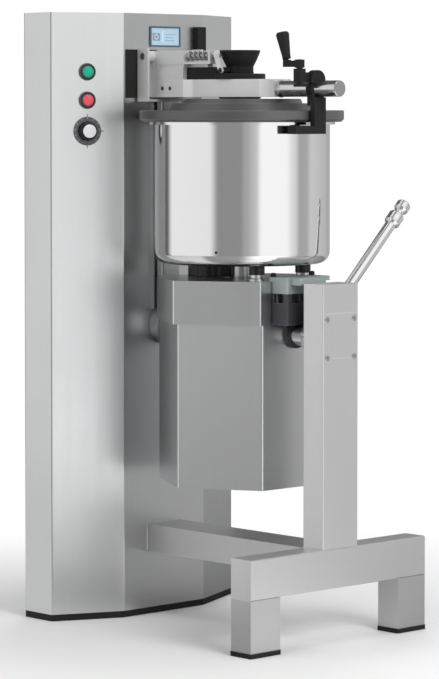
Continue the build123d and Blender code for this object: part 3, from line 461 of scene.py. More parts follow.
FINISHES = (
    SHEET,
    SATIN,
    replace(
        SATIN, name="satin_across", colour=grey(0.74), shade=grey(SATIN_SHADE * 0.74), grain=Grain.ALONG_Y,
    ),
    # painted shade: a darker copy of the satin for the legs and the spar, standing in for the shade they
    # lie in
    replace(SATIN, name="shaded_satin", colour=grey(0.62), shade=grey(SATIN_SHADE * 0.62)),
    Finish(
        "polished_bowl", grey(0.93), (0.84, 0.84, 0.845), metallic=1.0, roughness=(0.05, 0.11),
        grain=Grain.TURNED_Z, depth=0.3, bump=0.000004, patches=4.0, worn=grey(0.95), wear=0.2,
    ),
    POLISHED,
    replace(
        POLISHED, name="lever_bar", colour=(0.92, 0.92, 0.925), shade=(0.84, 0.84, 0.845),
        roughness=(0.12, 0.18), grain=Grain.LEANING, depth=0.3, bump=0.000003,
    ),
    Finish(
        "turned_steel", (0.62, 0.625, 0.63), (0.46, 0.465, 0.47), metallic=1.0, roughness=(0.22, 0.36),
        grain=Grain.TURNED_Z, depth=0.5, patches=18.0, worn=(0.84, 0.84, 0.85),
    ),
    MILLED,
    replace(
        MILLED, name="cheek_steel", colour=grey(0.84), shade=grey(0.7), metallic=0.55,
        roughness=(0.4, 0.52),
    ),
    Finish(
        "blade_steel", (0.72, 0.73, 0.74), (0.55, 0.56, 0.57), metallic=1.0, roughness=(0.12, 0.24),
        grain=Grain.ALONG_X, depth=0.5, bump=0.00001, patches=25.0, worn=grey(0.95), wear=0.8,
        wear_width=0.0008,
    ),
    Finish(
        "spring_wire", (0.5, 0.5, 0.51), (0.25, 0.25, 0.26), metallic=1.0, roughness=(0.25, 0.4), depth=0.6,
        patches=60.0, worn=grey(0.7), wear=0.2, wear_width=0.0005,
    ),
    SplitFinish(
        "cast_bracket", (0.085, 0.085, 0.1), (0.05, 0.05, 0.062), metallic=0.5, roughness=(0.34, 0.5),
        depth=0.8, bump=0.00012, patches=22.0, worn=(0.4, 0.41, 0.42), wear=0.5, wear_width=0.002,
        upper=(0.47, 0.53, 0.52), upper_shade=(0.33, 0.37, 0.37),
    ),
    Finish(
        "lid_grey", grey(0.15), grey(0.1), metallic=0.5, roughness=(0.3, 0.42), grain=Grain.TURNED_Z,
        depth=0.6, patches=10.0, worn=grey(0.4),
    ),
    Finish(
        "knob_face", (0.82, 0.82, 0.84), (0.7, 0.7, 0.72), metallic=0.35, roughness=(0.24, 0.36),
        bump=0.00001, worn=grey(0.9), wear=0.3, wear_width=0.0008,
    ),
    MOULDED,
    replace(MOULDED, name="gloss_black", roughness=(0.14, 0.26), specular=0.35),
    Finish(
        "rubber", grey(0.012), (0.026, 0.025, 0.024), roughness=(0.6, 0.8), depth=0.8, bump=0.0001,
        worn=(0.07, 0.07, 0.068), specular=0.2,
    ),
    Finish(
        "bezel_grey", (0.1, 0.1, 0.107), (0.065, 0.065, 0.07), roughness=(0.25, 0.4), worn=grey(0.3),
        wear=0.3, wear_width=0.0008,
    ),
    Finish(
        "display_rim", (0.1, 0.15, 0.19), (0.07, 0.1, 0.13), roughness=(0.3, 0.45),
        worn=(0.3, 0.34, 0.37), wear=0.3, wear_width=0.0008, specular=0.3,
    ),
    BUTTON,
    replace(
        BUTTON, name="red_button", colour=(0.78, 0.09, 0.13), shade=(0.62, 0.06, 0.09),
        worn=(0.85, 0.3, 0.32),
    ),
    Finish(
        "display_blue", (0.5, 0.68, 0.82), (0.44, 0.61, 0.76), roughness=(0.06, 0.1), bump=0.0,
        patches=20.0, worn=(0.6, 0.75, 0.86), wear=0.0, wear_width=0.0005,
    ),
    Finish(
        "enamel", (0.19, 0.22, 0.25), (0.13, 0.15, 0.18), roughness=(0.3, 0.45), depth=0.5, bump=0.00006,
        patches=12.0, worn=grey(0.5), wear=0.5, wear_width=0.002,
    ),
    Finish(
        "bronze", (0.6, 0.42, 0.2), (0.42, 0.28, 0.12), metallic=1.0, roughness=(0.25, 0.4),
        grain=Grain.TURNED_Z, depth=0.5, patches=20.0, worn=(0.8, 0.62, 0.36),
    ),
    printed_mark("display_ink", (0.25, 0.33, 0.4), (0.2, 0.27, 0.33)),
    printed_mark("display_pale", (0.72, 0.85, 0.92), (0.66, 0.8, 0.88)),
    printed_mark("white_mark", (0.72, 0.72, 0.7), (0.62, 0.62, 0.6)),
    printed_mark("dark_mark", (0.02, 0.02, 0.024), grey(0.035)),
)


class Paintbox:
    """Builds each finish once and puts it on pieces and on CAD nodes."""

    def __init__(self) -> None:
        """Build every material."""
        effects = Effects()
        self.materials = {finish.name: finish.build(effects) for finish in FINISHES}

    def paint(self, piece: bpy.types.Object, finish: str) -> None:
        """Give a piece one finish.

        Args:
            piece: the piece.
            finish: name of the finish.
        """
        piece.data.materials.clear()
        piece.data.materials.append(self.materials[finish])

    def paint_node(self, node: str, finish: str) -> None:
        """Give a CAD node one finish in all its material slots.

        Args:
            node: the node's name.
            finish: name of the finish.
        """
        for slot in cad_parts[node].material_slots:
            slot.material = self.materials[finish]


# ---- mesh tools --------------------------------------------------------------------------
BEVEL_SHARE = 0.3
BEAD_SIDES = 8
BEAD_PITCH = 1.4
STEEP = 0.9


@dataclass(frozen=True)
class Seat:
    """A flat place on the machine that pieces are built on, in millimetres.

    Attributes:
        origin: a point of the place.
        right: direction to the right on it.
        up: direction up on it.
    """

    origin: Point
    right: Point
    up: Point

    def at(self, across: float, height: float, proud: float = 0.0) -> Vector:
        """Find a point of the place.

        Args:
            across: distance to the right.
            height: distance up.
            proud: distance out of the place.

        Returns:
            The point, in metres.
        """
        right, up = Vector(self.right).normalized(), Vector(self.up).normalized()
        out = right.cross(up)
        return (Vector(self.origin) + right * across + up * height + out * proud) * MM


def circle(radius: float, count: int) -> Profile:
    """Points round a circle.

    Args:
        radius: the circle's radius.
        count: number of points.

    Returns:
        The points, from the right and anticlockwise.
    """
    turns = [math.tau * step / count for step in range(count)]
    return [(radius * math.cos(turn), radius * math.sin(turn)) for turn in turns]


def rectangle(x: Pair, y: Pair) -> Profile:
    """Corners of a rectangle.

    Args:
        x: its left and right edge.
        y: its lower and upper edge.

    Returns:
        The four corners, anticlockwise.
    """
    return [(x[0], y[0]), (x[1], y[0]), (x[1], y[1]), (x[0], y[1])]


def bar_outline(x: Pair, middle: float, half: float) -> Profile:
    """Corners of a narrow level bar.

    Args:
        x: its left and right end.
        middle: height of its middle.
        half: half its width.

    Returns:
        The four corners, anticlockwise.
    """
    return rectangle(x, (middle - half, middle + half))


def join_rings(mesh: BMesh, first: Ring, second: Ring, count: int) -> None:
    """Add the faces between two rings of points; a ring of one point is a tip.

    Args:
        mesh: the geometry that they are added to.
        first: points of one ring, in order.
        second: points of the next ring.
        count: number of faces round the rings.
    """
    for step in range(count):
        after = (step + 1) % count
        corners = [first[step % len(first)], first[after % len(first)]]
        corners += [second[after % len(second)], second[step % len(second)]]
        mesh.faces.new(list(dict.fromkeys(corners)))


def add_turned(mesh: BMesh, seat: Seat, profile: Profile, segments: int) -> None:
    """Turn a profile about the line that stands out of a seat at its origin.

    Args:
        mesh: the geometry that it is added to.
        seat: where it sits.
        profile: radius and height above the seat of each point, in millimetres.
        segments: number of flats round the turn.
    """
    rings = []
    for radius, proud in profile:
        spots = circle(radius, segments) if radius > 0.0 else [(0.0, 0.0)]
        rings.append([mesh.verts.new(seat.at(*spot, proud)) for spot in spots])
    for first, second in zip(rings, rings[1:]):
        join_rings(mesh, first, second, segments)


def add_plate(mesh: BMesh, seat: Seat, outline: Profile, low: float, high: float) -> None:
    """Add a plate with a bevelled upper edge.

    Args:
        mesh: the geometry that it is added to.
        seat: where it lies.
        outline: its corners on the seat, in order, in millimetres.
        low: height of its underside above the seat.
        high: height of its face above the seat.
    """
    bevel = BEVEL_SHARE * (high - low)
    middle = [sum(values) / len(outline) for values in zip(*outline)]
    rings = []
    for level, inset in ((low, 0.0), (high - bevel, 0.0), (high, bevel)):
        ring = []
        for corner in outline:
            keep = 1.0 - inset / max(math.dist(corner, middle), 1e-6)
            spot = [centre + (value - centre) * keep for value, centre in zip(corner, middle)]
            ring.append(mesh.verts.new(seat.at(*spot, level)))
        rings.append(ring)
    for lower, upper in zip(rings, rings[1:]):
        join_rings(mesh, lower, upper, len(outline))
    mesh.faces.new(rings[-1])
    mesh.faces.new(list(reversed(rings[0])))


def add_bead(mesh: BMesh, path: list[Vector], radius: float, closed: bool, ripple: float = 0.12) -> None:
    """Add a weld bead: a rippled tube along a path.

    Args:
        mesh: the geometry that it is added to.
        path: corners of the path, in metres.
        radius: radius of the bead, in metres.
        closed: whether the path's end runs back to its start.
        ripple: how much the bead swells and narrows along its length.
    """
    section = circle(1.0, BEAD_SIDES)
    pitch = BEAD_PITCH * radius
    corners = path + [path[0]] if closed else path
    spots = []
    for start, end in zip(corners, corners[1:]):
        count = max(2, round((end - start).length / pitch))
        spots += [start.lerp(end, step / count) for step in range(count)]
    if not closed:
        spots.append(corners[-1])
    rings = []
    for index, spot in enumerate(spots):
        before = spots[index - 1] if closed or index > 0 else spot
        after = spots[(index + 1) % len(spots)] if closed or index < len(spots) - 1 else spot
        along = (after - before).normalized()
        upright = abs(along.z) >= STEEP
        side = (along.orthogonal() if upright else along.cross(Vector(UP))).normalized()
        top = side.cross(along)
        size = radius * (1.0 + ripple * math.cos(math.pi * index))
        places = [spot + (side * across + top * height) * size for across, height in section]
        rings.append([mesh.verts.new(place) for place in places])
    if closed:
        rings.append(rings[0])
    else:
        mesh.faces.new(list(reversed(rings[0])))
        mesh.faces.new(rings[-1])
    for first, second in zip(rings, rings[1:]):
        join_rings(mesh, first, second, len(section))


def to_object(mesh: BMesh, name: str, smooth_angle: float = 35.0) -> bpy.types.Object:
    """Turn a finished bmesh into a scene object with smooth faces and crisp edges.

    Args:
        mesh: the geometry; it is freed here.
        name: the object's name.
        smooth_angle: edges that turn more than this, in degrees, stay crisp.

    Returns:
        The new object.
    """
    bmesh.ops.recalc_face_normals(mesh, faces=mesh.faces)
    limit = math.radians(smooth_angle)
    for face in mesh.faces:
        face.smooth = True
    for edge in mesh.edges:
        edge.smooth = len(edge.link_faces) == 2 and edge.calc_face_angle(0.0) < limit
    data = bpy.data.meshes.new(name)
    mesh.to_mesh(data)
    mesh.free()
    piece = bpy.data.objects.new(name, data)
    bpy.context.scene.collection.objects.link(piece)
    return piece


# ---- sub-assemblies ----------------------------------------------------------------------
Part = tuple[Seat, Profile]


@dataclass
class SubAssembly:
    """A group of pieces that is built and dressed together.

    Attributes:
        paints: the finishes.
        nodes: finish of each CAD node of the group.
    """

    paints: Paintbox
    nodes: ClassVar[dict[str, str]] = {}

    def build(self) -> None:
        """Dress the group's CAD nodes and add its details."""
        for node, finish in self.nodes.items():
            self.paints.paint_node(node, finish)
            LOG.info("%s: %s", node, finish)
        self.add_details()

    def add_details(self) -> None:
        """Add the group's own small pieces; a group without any adds none."""

    def fit(self, mesh: BMesh, name: str, body: str, finish: str, slot: str = "machined_steel") -> None:
        """Finish a detail piece and let it ride on its body.

        Args:
            mesh: the piece's geometry.
            name: the piece's name.
            body: the body that carries it.
            finish: name of its finish.
            slot: the record's material slot; not used.
        """
        piece = to_object(mesh, name)
        self.paints.paint(piece, finish)
        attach(piece, body)
        LOG.info("%s on %s: %s", name, body, finish)

    def fit_turned(self, parts: list[Part], segments: int, *label: str) -> None:
        """Turn a profile on each of some seats and fit the result as one piece.

        Args:
            parts: seat and profile of each turned part.
            segments: number of flats round the turn.
            *label: the piece's name, body, finish and slot, as for fit.
        """
        mesh = bmesh.new()
        for seat, profile in parts:
            add_turned(mesh, seat, profile, segments)
        self.fit(mesh, *label)

    def fit_plates(self, parts: list[Part], reach: Pair, *label: str) -> None:
        """Lay a plate on each of some seats and fit the result as one piece.

        Args:
            parts: seat and outline of each plate.
            reach: where the plates start and end above their seats.
            *label: the piece's name, body, finish and slot, as for fit.
        """
        mesh = bmesh.new()
        for seat, outline in parts:
            add_plate(mesh, seat, outline, *reach)
        self.fit(mesh, *label)


def socket_profile(radius: float) -> Profile:
    """Section of a screw's socket, sunk in a turned collar.

    Args:
        radius: radius of the socket, in millimetres.

    Returns:
        The section.
    """
    return [(radius + 0.9, 0.0), (radius + 0.7, 0.25), (radius, 0.1), (0.0, 0.05)]


def rib_profile(radius: float, root: Pair, crest: Pair) -> Profile:
    """Section of a raised ring round a turned part.

    Args:
        radius: radius of the part, in millimetres.
        root: how deep the ring's root lies in the part, and half its width there.
        crest: how far the ring's crest stands out, and half its width there.

    Returns:
        The section.
    """
    sunk, outer = radius - root[0], radius + crest[0]
    return [(sunk, -root[1]), (outer, -crest[1]), (outer, crest[1]), (sunk, root[1])]


@dataclass
class Cabinet(SubAssembly):
    """The tall sheet-steel cabinet and what is inside it.

    Attributes:
        screw_face_x: face of the back cover's screw heads, in millimetres.
        screw_y: sideways places of those screws.
        screw_z: heights of those screws.
        socket_radius: radius of their sockets.
    """

    # painted shadow: rub_pad is a near-black rubber plate on the cabinet's side, where the hinge bracket
    # casts its shadow
    nodes: ClassVar[dict[str, str]] = {
        "cabinet_shell": "sheet_upright", "cabinet_plinth": "black_plastic",
        "service_panel": "sheet_upright", "cover_screws": "turned_steel", "rub_pad": "rubber",
        "electrics_tray": "sheet_upright", "speed_inverter": "enamel", "cabinet_bearing": "turned_steel",
    }
    screw_face_x: float = -409.75
    screw_y: Pair = (-104.0, 104.0)
    screw_z: Pair = (130.0, 1240.0)
    socket_radius: float = 2.6

    def add_details(self) -> None:
        """Sockets in the back cover's screws."""
        spots = [(self.screw_face_x, y, z) for y in self.screw_y for z in self.screw_z]
        socket = socket_profile(self.socket_radius)
        parts = [(Seat(spot, SOUTH, UP), socket) for spot in spots]
        # painted shade: the sockets are nearly flat, and their near-black finish stands in for the shade
        # inside each hollow
        self.fit_turned(parts, 6, "back_screw_sockets", "frame", "dark_mark")


@dataclass(frozen=True)
class Mark:
    """A radial mark on a dial.

    Attributes:
        reach: inner and outer radius, in millimetres.
        half_width: half its width.
        thickness: how far it stands out.
    """

    reach: Pair
    half_width: float
    thickness: float

    def outline(self, angle: float) -> Profile:
        """Corners of the mark at one place of the dial.

        Args:
            angle: clockwise angle from straight up, in degrees.

        Returns:
            The corners round the dial's middle.
        """
        turn = math.radians(90.0 - angle)
        along = Vector((math.cos(turn), math.sin(turn)))
        side = Vector((-along.y, along.x)) * self.half_width
        inner, outer = along * self.reach[0], along * self.reach[1]
        return [tuple(spot) for spot in (inner - side, outer - side, outer + side, inner + side)]


@dataclass
class ControlPanel(SubAssembly):
    """Push buttons and speed dial on the cabinet's front chamfer.

    Attributes:
        origin: middle of the chamfer at the floor, in millimetres.
        across: direction to the right along the chamfer.
        knob_z: height of the dial.
        plate_face: how far the dial plate's face stands out.
        cap_face: how far the knob's cap stands out.
        button_z: heights of the two buttons.
        bezel_face: how far the button bezels stand out.
        bezel_ring: section of the ring on a bezel: radius and height above its face.
        scale_angles: turns of the scale's long marks, in degrees.
        sweep: the dial's turn to each side, in degrees.
        steps: number of steps between the dial plate's fine marks.
        scale_mark: a long mark of the scale.
        fine_mark: a fine mark of the dial plate.
        pointer: the mark on the knob's cap.
    """

    nodes: ClassVar[dict[str, str]] = {
        "button_bezels": "bezel_grey", "start_button": "green_button", "stop_button": "red_button",
        "switch_gear": "black_plastic", "dial_plate": "bezel_grey", "speed_knob": "gloss_black",
        "knob_cap": "knob_face",
    }
    origin: Point = (-207.0, -205.0, 0.0)
    across: Point = (72.0, 160.0, 0.0)
    knob_z: float = 1128.0
    plate_face: float = 1.5
    cap_face: float = 19.4
    button_z: Pair = (1264.0, 1199.0)
    bezel_face: float = 5.5
    bezel_ring: ClassVar[Profile] = [(17.9, -0.4), (17.2, 0.35), (15.4, 0.45), (14.4, -0.2)]
    scale_angles: tuple[float, ...] = (0.0, 90.0, 180.0)
    sweep: float = 135.0
    steps: int = 10
    scale_mark: Mark = Mark((33.2, 39.0), 0.9, 0.2)
    fine_mark: Mark = Mark((27.5, 31.0), 0.35, 0.15)
    pointer: Mark = Mark((15.6, 16.3), 0.8, 0.3)

    def _seat(self, height: float, proud: float) -> Seat:
        """Seat on the chamfer at a height.

        Args:
            height: height above the floor, in millimetres.
            proud: distance out of the sheet.

        Returns:
            The seat.
        """
        spot = Seat(self.origin, self.across, UP).at(0.0, height, proud) / MM
        return Seat(tuple(spot), self.across, UP)

    def add_details(self) -> None:
        """Scale marks, the knob's pointer and the rings round the buttons."""
        turns = [-self.sweep + step * 2.0 * self.sweep / self.steps for step in range(self.steps + 1)]
        scale = ("dial_marks", "frame", "dark_mark", "black_plastic")
        self._fit_marks(self.scale_mark, 0.0, self.scale_angles, *scale)
        fine = ("dial_fine_marks", "frame", "white_mark", "button_bezel")
        self._fit_marks(self.fine_mark, self.plate_face, turns, *fine)
        top = ("knob_pointer", "speed_knob", "white_mark", "black_plastic")
        self._fit_marks(self.pointer, self.cap_face, (0.0,), *top)
        rings = [(self._seat(height, self.bezel_face), self.bezel_ring) for height in self.button_z]
        self.fit_turned(rings, 48, "bezel_rings", "frame", "black_plastic", "button_bezel")

    def _fit_marks(self, mark: Mark, proud: float, angles: Iterable[float], *label: str) -> None:
        """Fit a row of equal marks on the dial as one piece.

        Args:
            mark: the mark.
            proud: how far the face that carries it stands out of the sheet.
            angles: clockwise angle of each mark from straight up, in degrees.
            *label: the piece's name, body, finish and slot, as for fit.
        """
        seat = self._seat(self.knob_z, proud)
        parts = [(seat, mark.outline(angle)) for angle in angles]
        self.fit_plates(parts, (0.0, mark.thickness), *label)


@dataclass
class DisplayUnit(SubAssembly):
    """The display and the lid's sensor beside it.

    Attributes:
        face_x: front of the display's lens, in millimetres.
        block_y: sideways reach of the dark square shown at the left.
        block_z: its height reach.
        line_y: sideways reach of the lines at the right.
        lines: height of each line and the share of the reach that it takes.
        line_half: half the width of a line.
        column_y: sideways reach of the pale column between square and lines.
        column_z: its height reach.
        ring: section of the ring in the square: radius and height above the lens.
        figure: thickness of the square.
        stroke: thickness of the lines and the column.
    """

    nodes: ClassVar[dict[str, str]] = {
        "display_bezel": "display_rim", "display_lens": "display_blue", "lid_sensor": "black_plastic",
    }
    face_x: float = -170.0
    block_y: Pair = (-36.0, -13.0)
    block_z: Pair = (1337.5, 1355.0)
    line_y: Pair = (2.0, 38.0)
    lines: tuple[Pair, ...] = ((1352.0, 1.0), (1345.0, 0.7), (1338.0, 0.85))
    line_half: float = 0.7
    column_y: Pair = (-6.0, -3.0)
    column_z: Pair = (1334.0, 1360.0)
    ring: ClassVar[Profile] = [(6.2, 0.15), (6.2, 0.3), (4.4, 0.3), (4.4, 0.15)]
    figure: float = 0.15
    stroke: float = 0.12

    def add_details(self) -> None:
        """Square, ring and lines that the display shows."""
        seat = Seat((self.face_x, 0.0, 0.0), NORTH, UP)
        ink = bmesh.new()
        add_plate(ink, seat, rectangle(self.block_y, self.block_z), 0.0, self.figure)
        left, right = self.line_y
        for height, length in self.lines:
            line = bar_outline((left, left + length * (right - left)), height, self.line_half)
            add_plate(ink, seat, line, 0.0, self.stroke)
        self.fit(ink, "display_figures", "frame", "display_ink", "display_glass")
        glow = bmesh.new()
        middle = (self.face_x, sum(self.block_y) / 2, sum(self.block_z) / 2)
        add_turned(glow, Seat(middle, NORTH, UP), self.ring, 32)
        add_plate(glow, seat, rectangle(self.column_y, self.column_z), 0.0, self.stroke)
        self.fit(glow, "display_ring", "frame", "display_pale", "display_glass")


@dataclass
class Stand(SubAssembly):
    """The T-shaped floor frame with its post.

    Attributes:
        face_x: the frame's front faces, in millimetres.
        inner_x: the post's rear face.
        half_width: half the post's width.
        beam_top: top of the cross beam.
        weld_inset: how far the beam's welds stop short of the post's faces.
        spar_y: left and right side of the spar.
        spar_z: underside and top of the spar.
        cabinet_x: the cabinet's front face.
        bolt: distance of the bearing's screws from the tilt axis, across and up.
        screw_head: how far the bearing's screw heads stand out.
        socket_radius: radius of their sockets.
        tilt_z: height of the tilt axis.
        plate_y: left and right edge of the plate over the bearing.
        plate_z: lower and upper edge of that plate.
        edge_half: half the width of its edge lines.
        edge_proud: how far they stand out.
        bead: radius of the weld beads, in metres.
    """

    # frame_legs and floor_spar take the darker satin copy, which is painted shade
    nodes: ClassVar[dict[str, str]] = {
        "cross_beam": "satin_across", "frame_legs": "shaded_satin", "rubber_feet": "rubber",
        "floor_spar": "shaded_satin", "trunnion_post": "satin_upright", "post_bearing": "turned_steel",
    }
    face_x: float = 408.0
    inner_x: float = 346.0
    half_width: float = 55.0
    beam_top: float = 212.0
    weld_inset: float = 3.0
    spar_y: Pair = (-54.0, 54.0)
    spar_z: Pair = (148.0, 211.0)
    cabinet_x: float = -171.0
    bolt: float = 42.0
    screw_head: float = 1.75
    socket_radius: float = 2.9
    tilt_z: float = 676.0
    plate_y: Pair = (-48.0, 48.0)
    plate_z: Pair = (632.0, 731.0)
    edge_half: float = 0.5
    edge_proud: float = 0.15
    bead: float = 0.0018

    def add_details(self) -> None:
        """Weld beads, the plate over the bearing and the sockets of its screws."""
        welds = bmesh.new()
        reach = (self.inner_x + self.weld_inset, self.face_x - self.weld_inset)
        for y in (-self.half_width, self.half_width):
            add_bead(welds, [Vector((x, y, self.beam_top)) * MM for x in reach], self.bead, False)
        for x in (self.inner_x, self.cabinet_x):
            path = [Vector((x, y, z)) * MM for y, z in rectangle(self.spar_y, self.spar_z)]
            add_bead(welds, path, self.bead, True)
        self.fit(welds, "frame_welds", "frame", "turned_steel", "stainless_sheet")
        front = Seat((self.face_x, 0.0, 0.0), NORTH, UP)
        edges = [(front, bar_outline(self.plate_y, height, self.edge_half)) for height in self.plate_z]
        label = ("bearing_plate_edges", "frame", "arm_steel", "stainless_sheet")
        self.fit_plates(edges, (0.0, self.edge_proud), *label)
        face = self.face_x + self.screw_head
        sides = (-self.bolt, self.bolt)
        seats = [Seat((face, y, self.tilt_z + rise), NORTH, UP) for y in sides for rise in sides]
        sockets = [(seat, socket_profile(self.socket_radius)) for seat in seats]
        # painted shade: the sockets are nearly flat, and their near-black finish stands in for the shade
        # inside each hollow
        self.fit_turned(sockets, 6, "bearing_screw_sockets", "frame", "dark_mark")


@dataclass
class TiltUnit(SubAssembly):
    """Motor casing, bowl and trunnions: everything that tips to empty the bowl.

    Attributes:
        bowl_x: the bowl's axis, in millimetres.
        bowl_radius: the bowl's outer radius.
        wall: thickness of the bowl's wall.
        stud_turn: heading of the stud low on the bowl, in degrees.
        stud_z: its height.
        stud: its section: radius and height above the wall.
        mark_turn: heading of the filling marks inside the bowl, in degrees.
        mark_z: their heights.
        mark_reach: their left and right end.
        mark_half: half their width.
        mark_depth: where they start and end above the wall's inner face.
    """

    nodes: ClassVar[dict[str, str]] = {
        "motor_casing": "sheet_upright", "casing_hood": "sheet_upright", "motor_plate": "turned_steel",
        "drive_motor": "enamel", "shaft_bearing": "turned_steel", "bowl": "polished_bowl",
        "tube_bush": "bronze",
        "main_buffers": "gloss_black", "small_buffers": "black_plastic", "left_trunnion": "turned_steel",
        "lid_riser": "turned_steel", "trunnion_casting": "cast_bracket", "right_trunnion": "polished_bar",
    }
    bowl_x: float = 92.0
    bowl_radius: float = 200.0
    wall: float = 3.0
    stud_turn: float = -60.0
    stud_z: float = 862.0
    stud: ClassVar[Profile] = [(3.4, -0.3), (3.2, 0.7), (2.0, 1.3), (0.0, 1.5)]
    mark_turn: float = 100.0
    mark_z: tuple[float, ...] = (930.0, 1000.0, 1070.0)
    mark_reach: Pair = (-9.0, 9.0)
    mark_half: float = 0.6
    mark_depth: Pair = (-0.25, 0.35)

    def _on_wall(self, heading: float, radius: float, height: float, inside: bool) -> Seat:
        """Seat on the bowl's wall.

        Args:
            heading: heading from the bowl's axis, in degrees.
            radius: radius of the wall's face.
            height: height above the floor.
            inside: whether the seat faces the axis.

        Returns:
            The seat.
        """
        turn = math.radians(heading)
        out = Vector((math.cos(turn), math.sin(turn), 0.0))
        spot = Vector((self.bowl_x, 0.0, height)) + out * radius
        side = -1.0 if inside else 1.0
        return Seat(tuple(spot), (-side * out.y, side * out.x, 0.0), UP)

    def add_details(self) -> None:
        """A stud low on the bowl's wall and filling marks inside it."""
        outside = self._on_wall(self.stud_turn, self.bowl_radius, self.stud_z, False)
        self.fit_turned([(outside, self.stud)], 20, "bowl_stud", "tilt_unit", "dark_mark")
        inner = self.bowl_radius - self.wall
        line = bar_outline(self.mark_reach, 0.0, self.mark_half)
        marks = [(self._on_wall(self.mark_turn, inner, height, True), line) for height in self.mark_z]
        label = ("filling_marks", "tilt_unit", "turned_steel", "polished_steel")
        self.fit_plates(marks, self.mark_depth, *label)


@dataclass
class TiltLever(SubAssembly):
    """The hand lever on the right trunnion.

    Attributes:
        foot: where the lever's axis meets the tilt axis, in millimetres.
        slope: direction of the lever towards the back and up.
        rings: distance along the lever, and radius of the grip, at each turned ring.
        ring: root and crest of a ring.
        weld: distance and radius of the weld at its foot.
        bead: radius of the weld bead, in metres.
    """

    nodes: ClassVar[dict[str, str]] = {"lever_hub": "turned_steel", "tilt_lever": "lever_bar"}
    foot: Point = (329.0, 0.0, 676.0)
    slope: float = math.sqrt(0.5)
    rings: tuple[Pair, ...] = ((350.0, 18.0), (364.0, 18.0), (392.0, 16.5), (399.0, 16.5))
    ring: tuple[Pair, Pair] = ((0.1, 0.7), (0.12, 0.4))
    weld: Pair = (29.5, 12.5)
    bead: float = 0.0016

    def _seat(self, distance: float) -> Seat:
        """Seat across the lever.

        Args:
            distance: distance from the tilt axis, in millimetres.

        Returns:
            The seat.
        """
        x, y, z = self.foot
        step = distance * self.slope
        return Seat((x, y + step, z + step), (-1.0, 0.0, 0.0), (0.0, -self.slope, self.slope))

    def add_details(self) -> None:
        """Fine rings on the grip and the weld at the lever's foot."""
        rings = [(self._seat(distance), rib_profile(radius, *self.ring)) for distance, radius in self.rings]
        self.fit_turned(rings, 40, "grip_rings", "tilt_unit", "turned_steel")
        weld = bmesh.new()
        distance, radius = self.weld
        seat = self._seat(distance)
        add_bead(weld, [seat.at(*spot) for spot in circle(radius, 24)], self.bead, True)
        self.fit(weld, "lever_weld", "tilt_unit", "turned_steel")


@dataclass
class KnifeRotor(SubAssembly):
    """The knife shaft, its bell and the blades.

    Attributes:
        axis_x: the shaft's axis, in millimetres.
        nut_top: top of the hand nut.
        centre_ring: section of the ring on the nut: radius and height above its top.
    """

    nodes: ClassVar[dict[str, str]] = {
        "knife_shaft": "turned_steel", "knife_bell": "turned_steel", "lower_knives": "blade_steel",
        "upper_knives": "blade_steel", "knife_nut": "turned_steel",
    }
    axis_x: float = 92.0
    nut_top: float = 958.0
    centre_ring: ClassVar[Profile] = [(6.0, 0.0), (5.6, 0.4), (4.6, 0.4), (4.2, 0.0)]

    def add_details(self) -> None:
        """Turned centre mark on the nut."""
        top = Seat((self.axis_x, 0.0, self.nut_top), EAST, NORTH)
        self.fit_turned([(top, self.centre_ring)], 32, "nut_centre_ring", "knife_rotor", "dark_mark")


@dataclass
class Lid(SubAssembly):
    """Lid, arm, hinge and feed funnel.

    Attributes:
        arm_side_y: the arm's front side near the hinge, in millimetres.
        screw_x: places of the two screws on that side.
        screw_z: their height.
        screw_head: section of a screw head: radius and height above the arm.
        socket: section of the dark socket in it.
        bar_x: where the weld lies round the bar at the arm's nose.
        bar_z: height of the bar's axis.
        bar_radius: the bar's radius.
        bead: radius of the weld bead, in metres.
        funnel_x: the funnel's axis.
        ribs: height, and radius of the funnel, at each moulded rib.
        rib: root and crest of a rib.
    """

    nodes: ClassVar[dict[str, str]] = {
        "lid_disc": "lid_grey", "lid_seal": "rubber", "lid_arm": "arm_steel", "arm_tube": "polished_bar",
        "tube_cap": "polished_bar", "arm_root": "cheek_steel", "feed_funnel": "black_plastic",
        "hinge_fork": "cheek_steel", "hinge_pin": "turned_steel",
    }
    arm_side_y: float = -58.0
    screw_x: Pair = (-112.0, -86.0)
    screw_z: float = 1226.0
    screw_head: ClassVar[Profile] = [(5.6, 0.0), (5.4, 0.5), (4.3, 0.6), (4.1, 0.1), (0.0, 0.1)]
    socket: ClassVar[Profile] = [(4.6, 0.1), (4.5, 0.65), (0.0, 0.6)]
    bar_x: float = 220.5
    bar_z: float = 1224.0
    bar_radius: float = 18.0
    bead: float = 0.0016
    funnel_x: float = 86.0
    ribs: tuple[Pair, ...] = ((1299.0, 41.7), (1262.0, 31.0))
    rib: tuple[Pair, Pair] = ((0.4, 1.2), (0.7, 0.6))

    def add_details(self) -> None:
        """Screws on the arm, the weld round the bar and ribs on the funnel."""
        seats = [Seat((x, self.arm_side_y, self.screw_z), EAST, UP) for x in self.screw_x]
        heads = [(seat, self.screw_head) for seat in seats]
        self.fit_turned(heads, 24, "arm_screw_heads", "lid", "turned_steel")
        sockets = [(seat, self.socket) for seat in seats]
        # painted shade: the sockets are nearly flat discs, and their near-black finish stands in for the
        # shade inside each hollow
        self.fit_turned(sockets, 12, "arm_screw_sockets", "lid", "dark_mark")
        weld = bmesh.new()
        nose = Seat((self.bar_x, 0.0, self.bar_z), NORTH, UP)
        add_bead(weld, [nose.at(*spot) for spot in circle(self.bar_radius, 36)], self.bead, True)
        self.fit(weld, "bar_weld", "lid", "turned_steel")
        ribs = [
            (Seat((self.funnel_x, 0.0, height), EAST, NORTH), rib_profile(radius, *self.rib))
            for height, radius in self.ribs
        ]
        self.fit_turned(ribs, 48, "funnel_ribs", "lid", "black_plastic", "black_plastic")


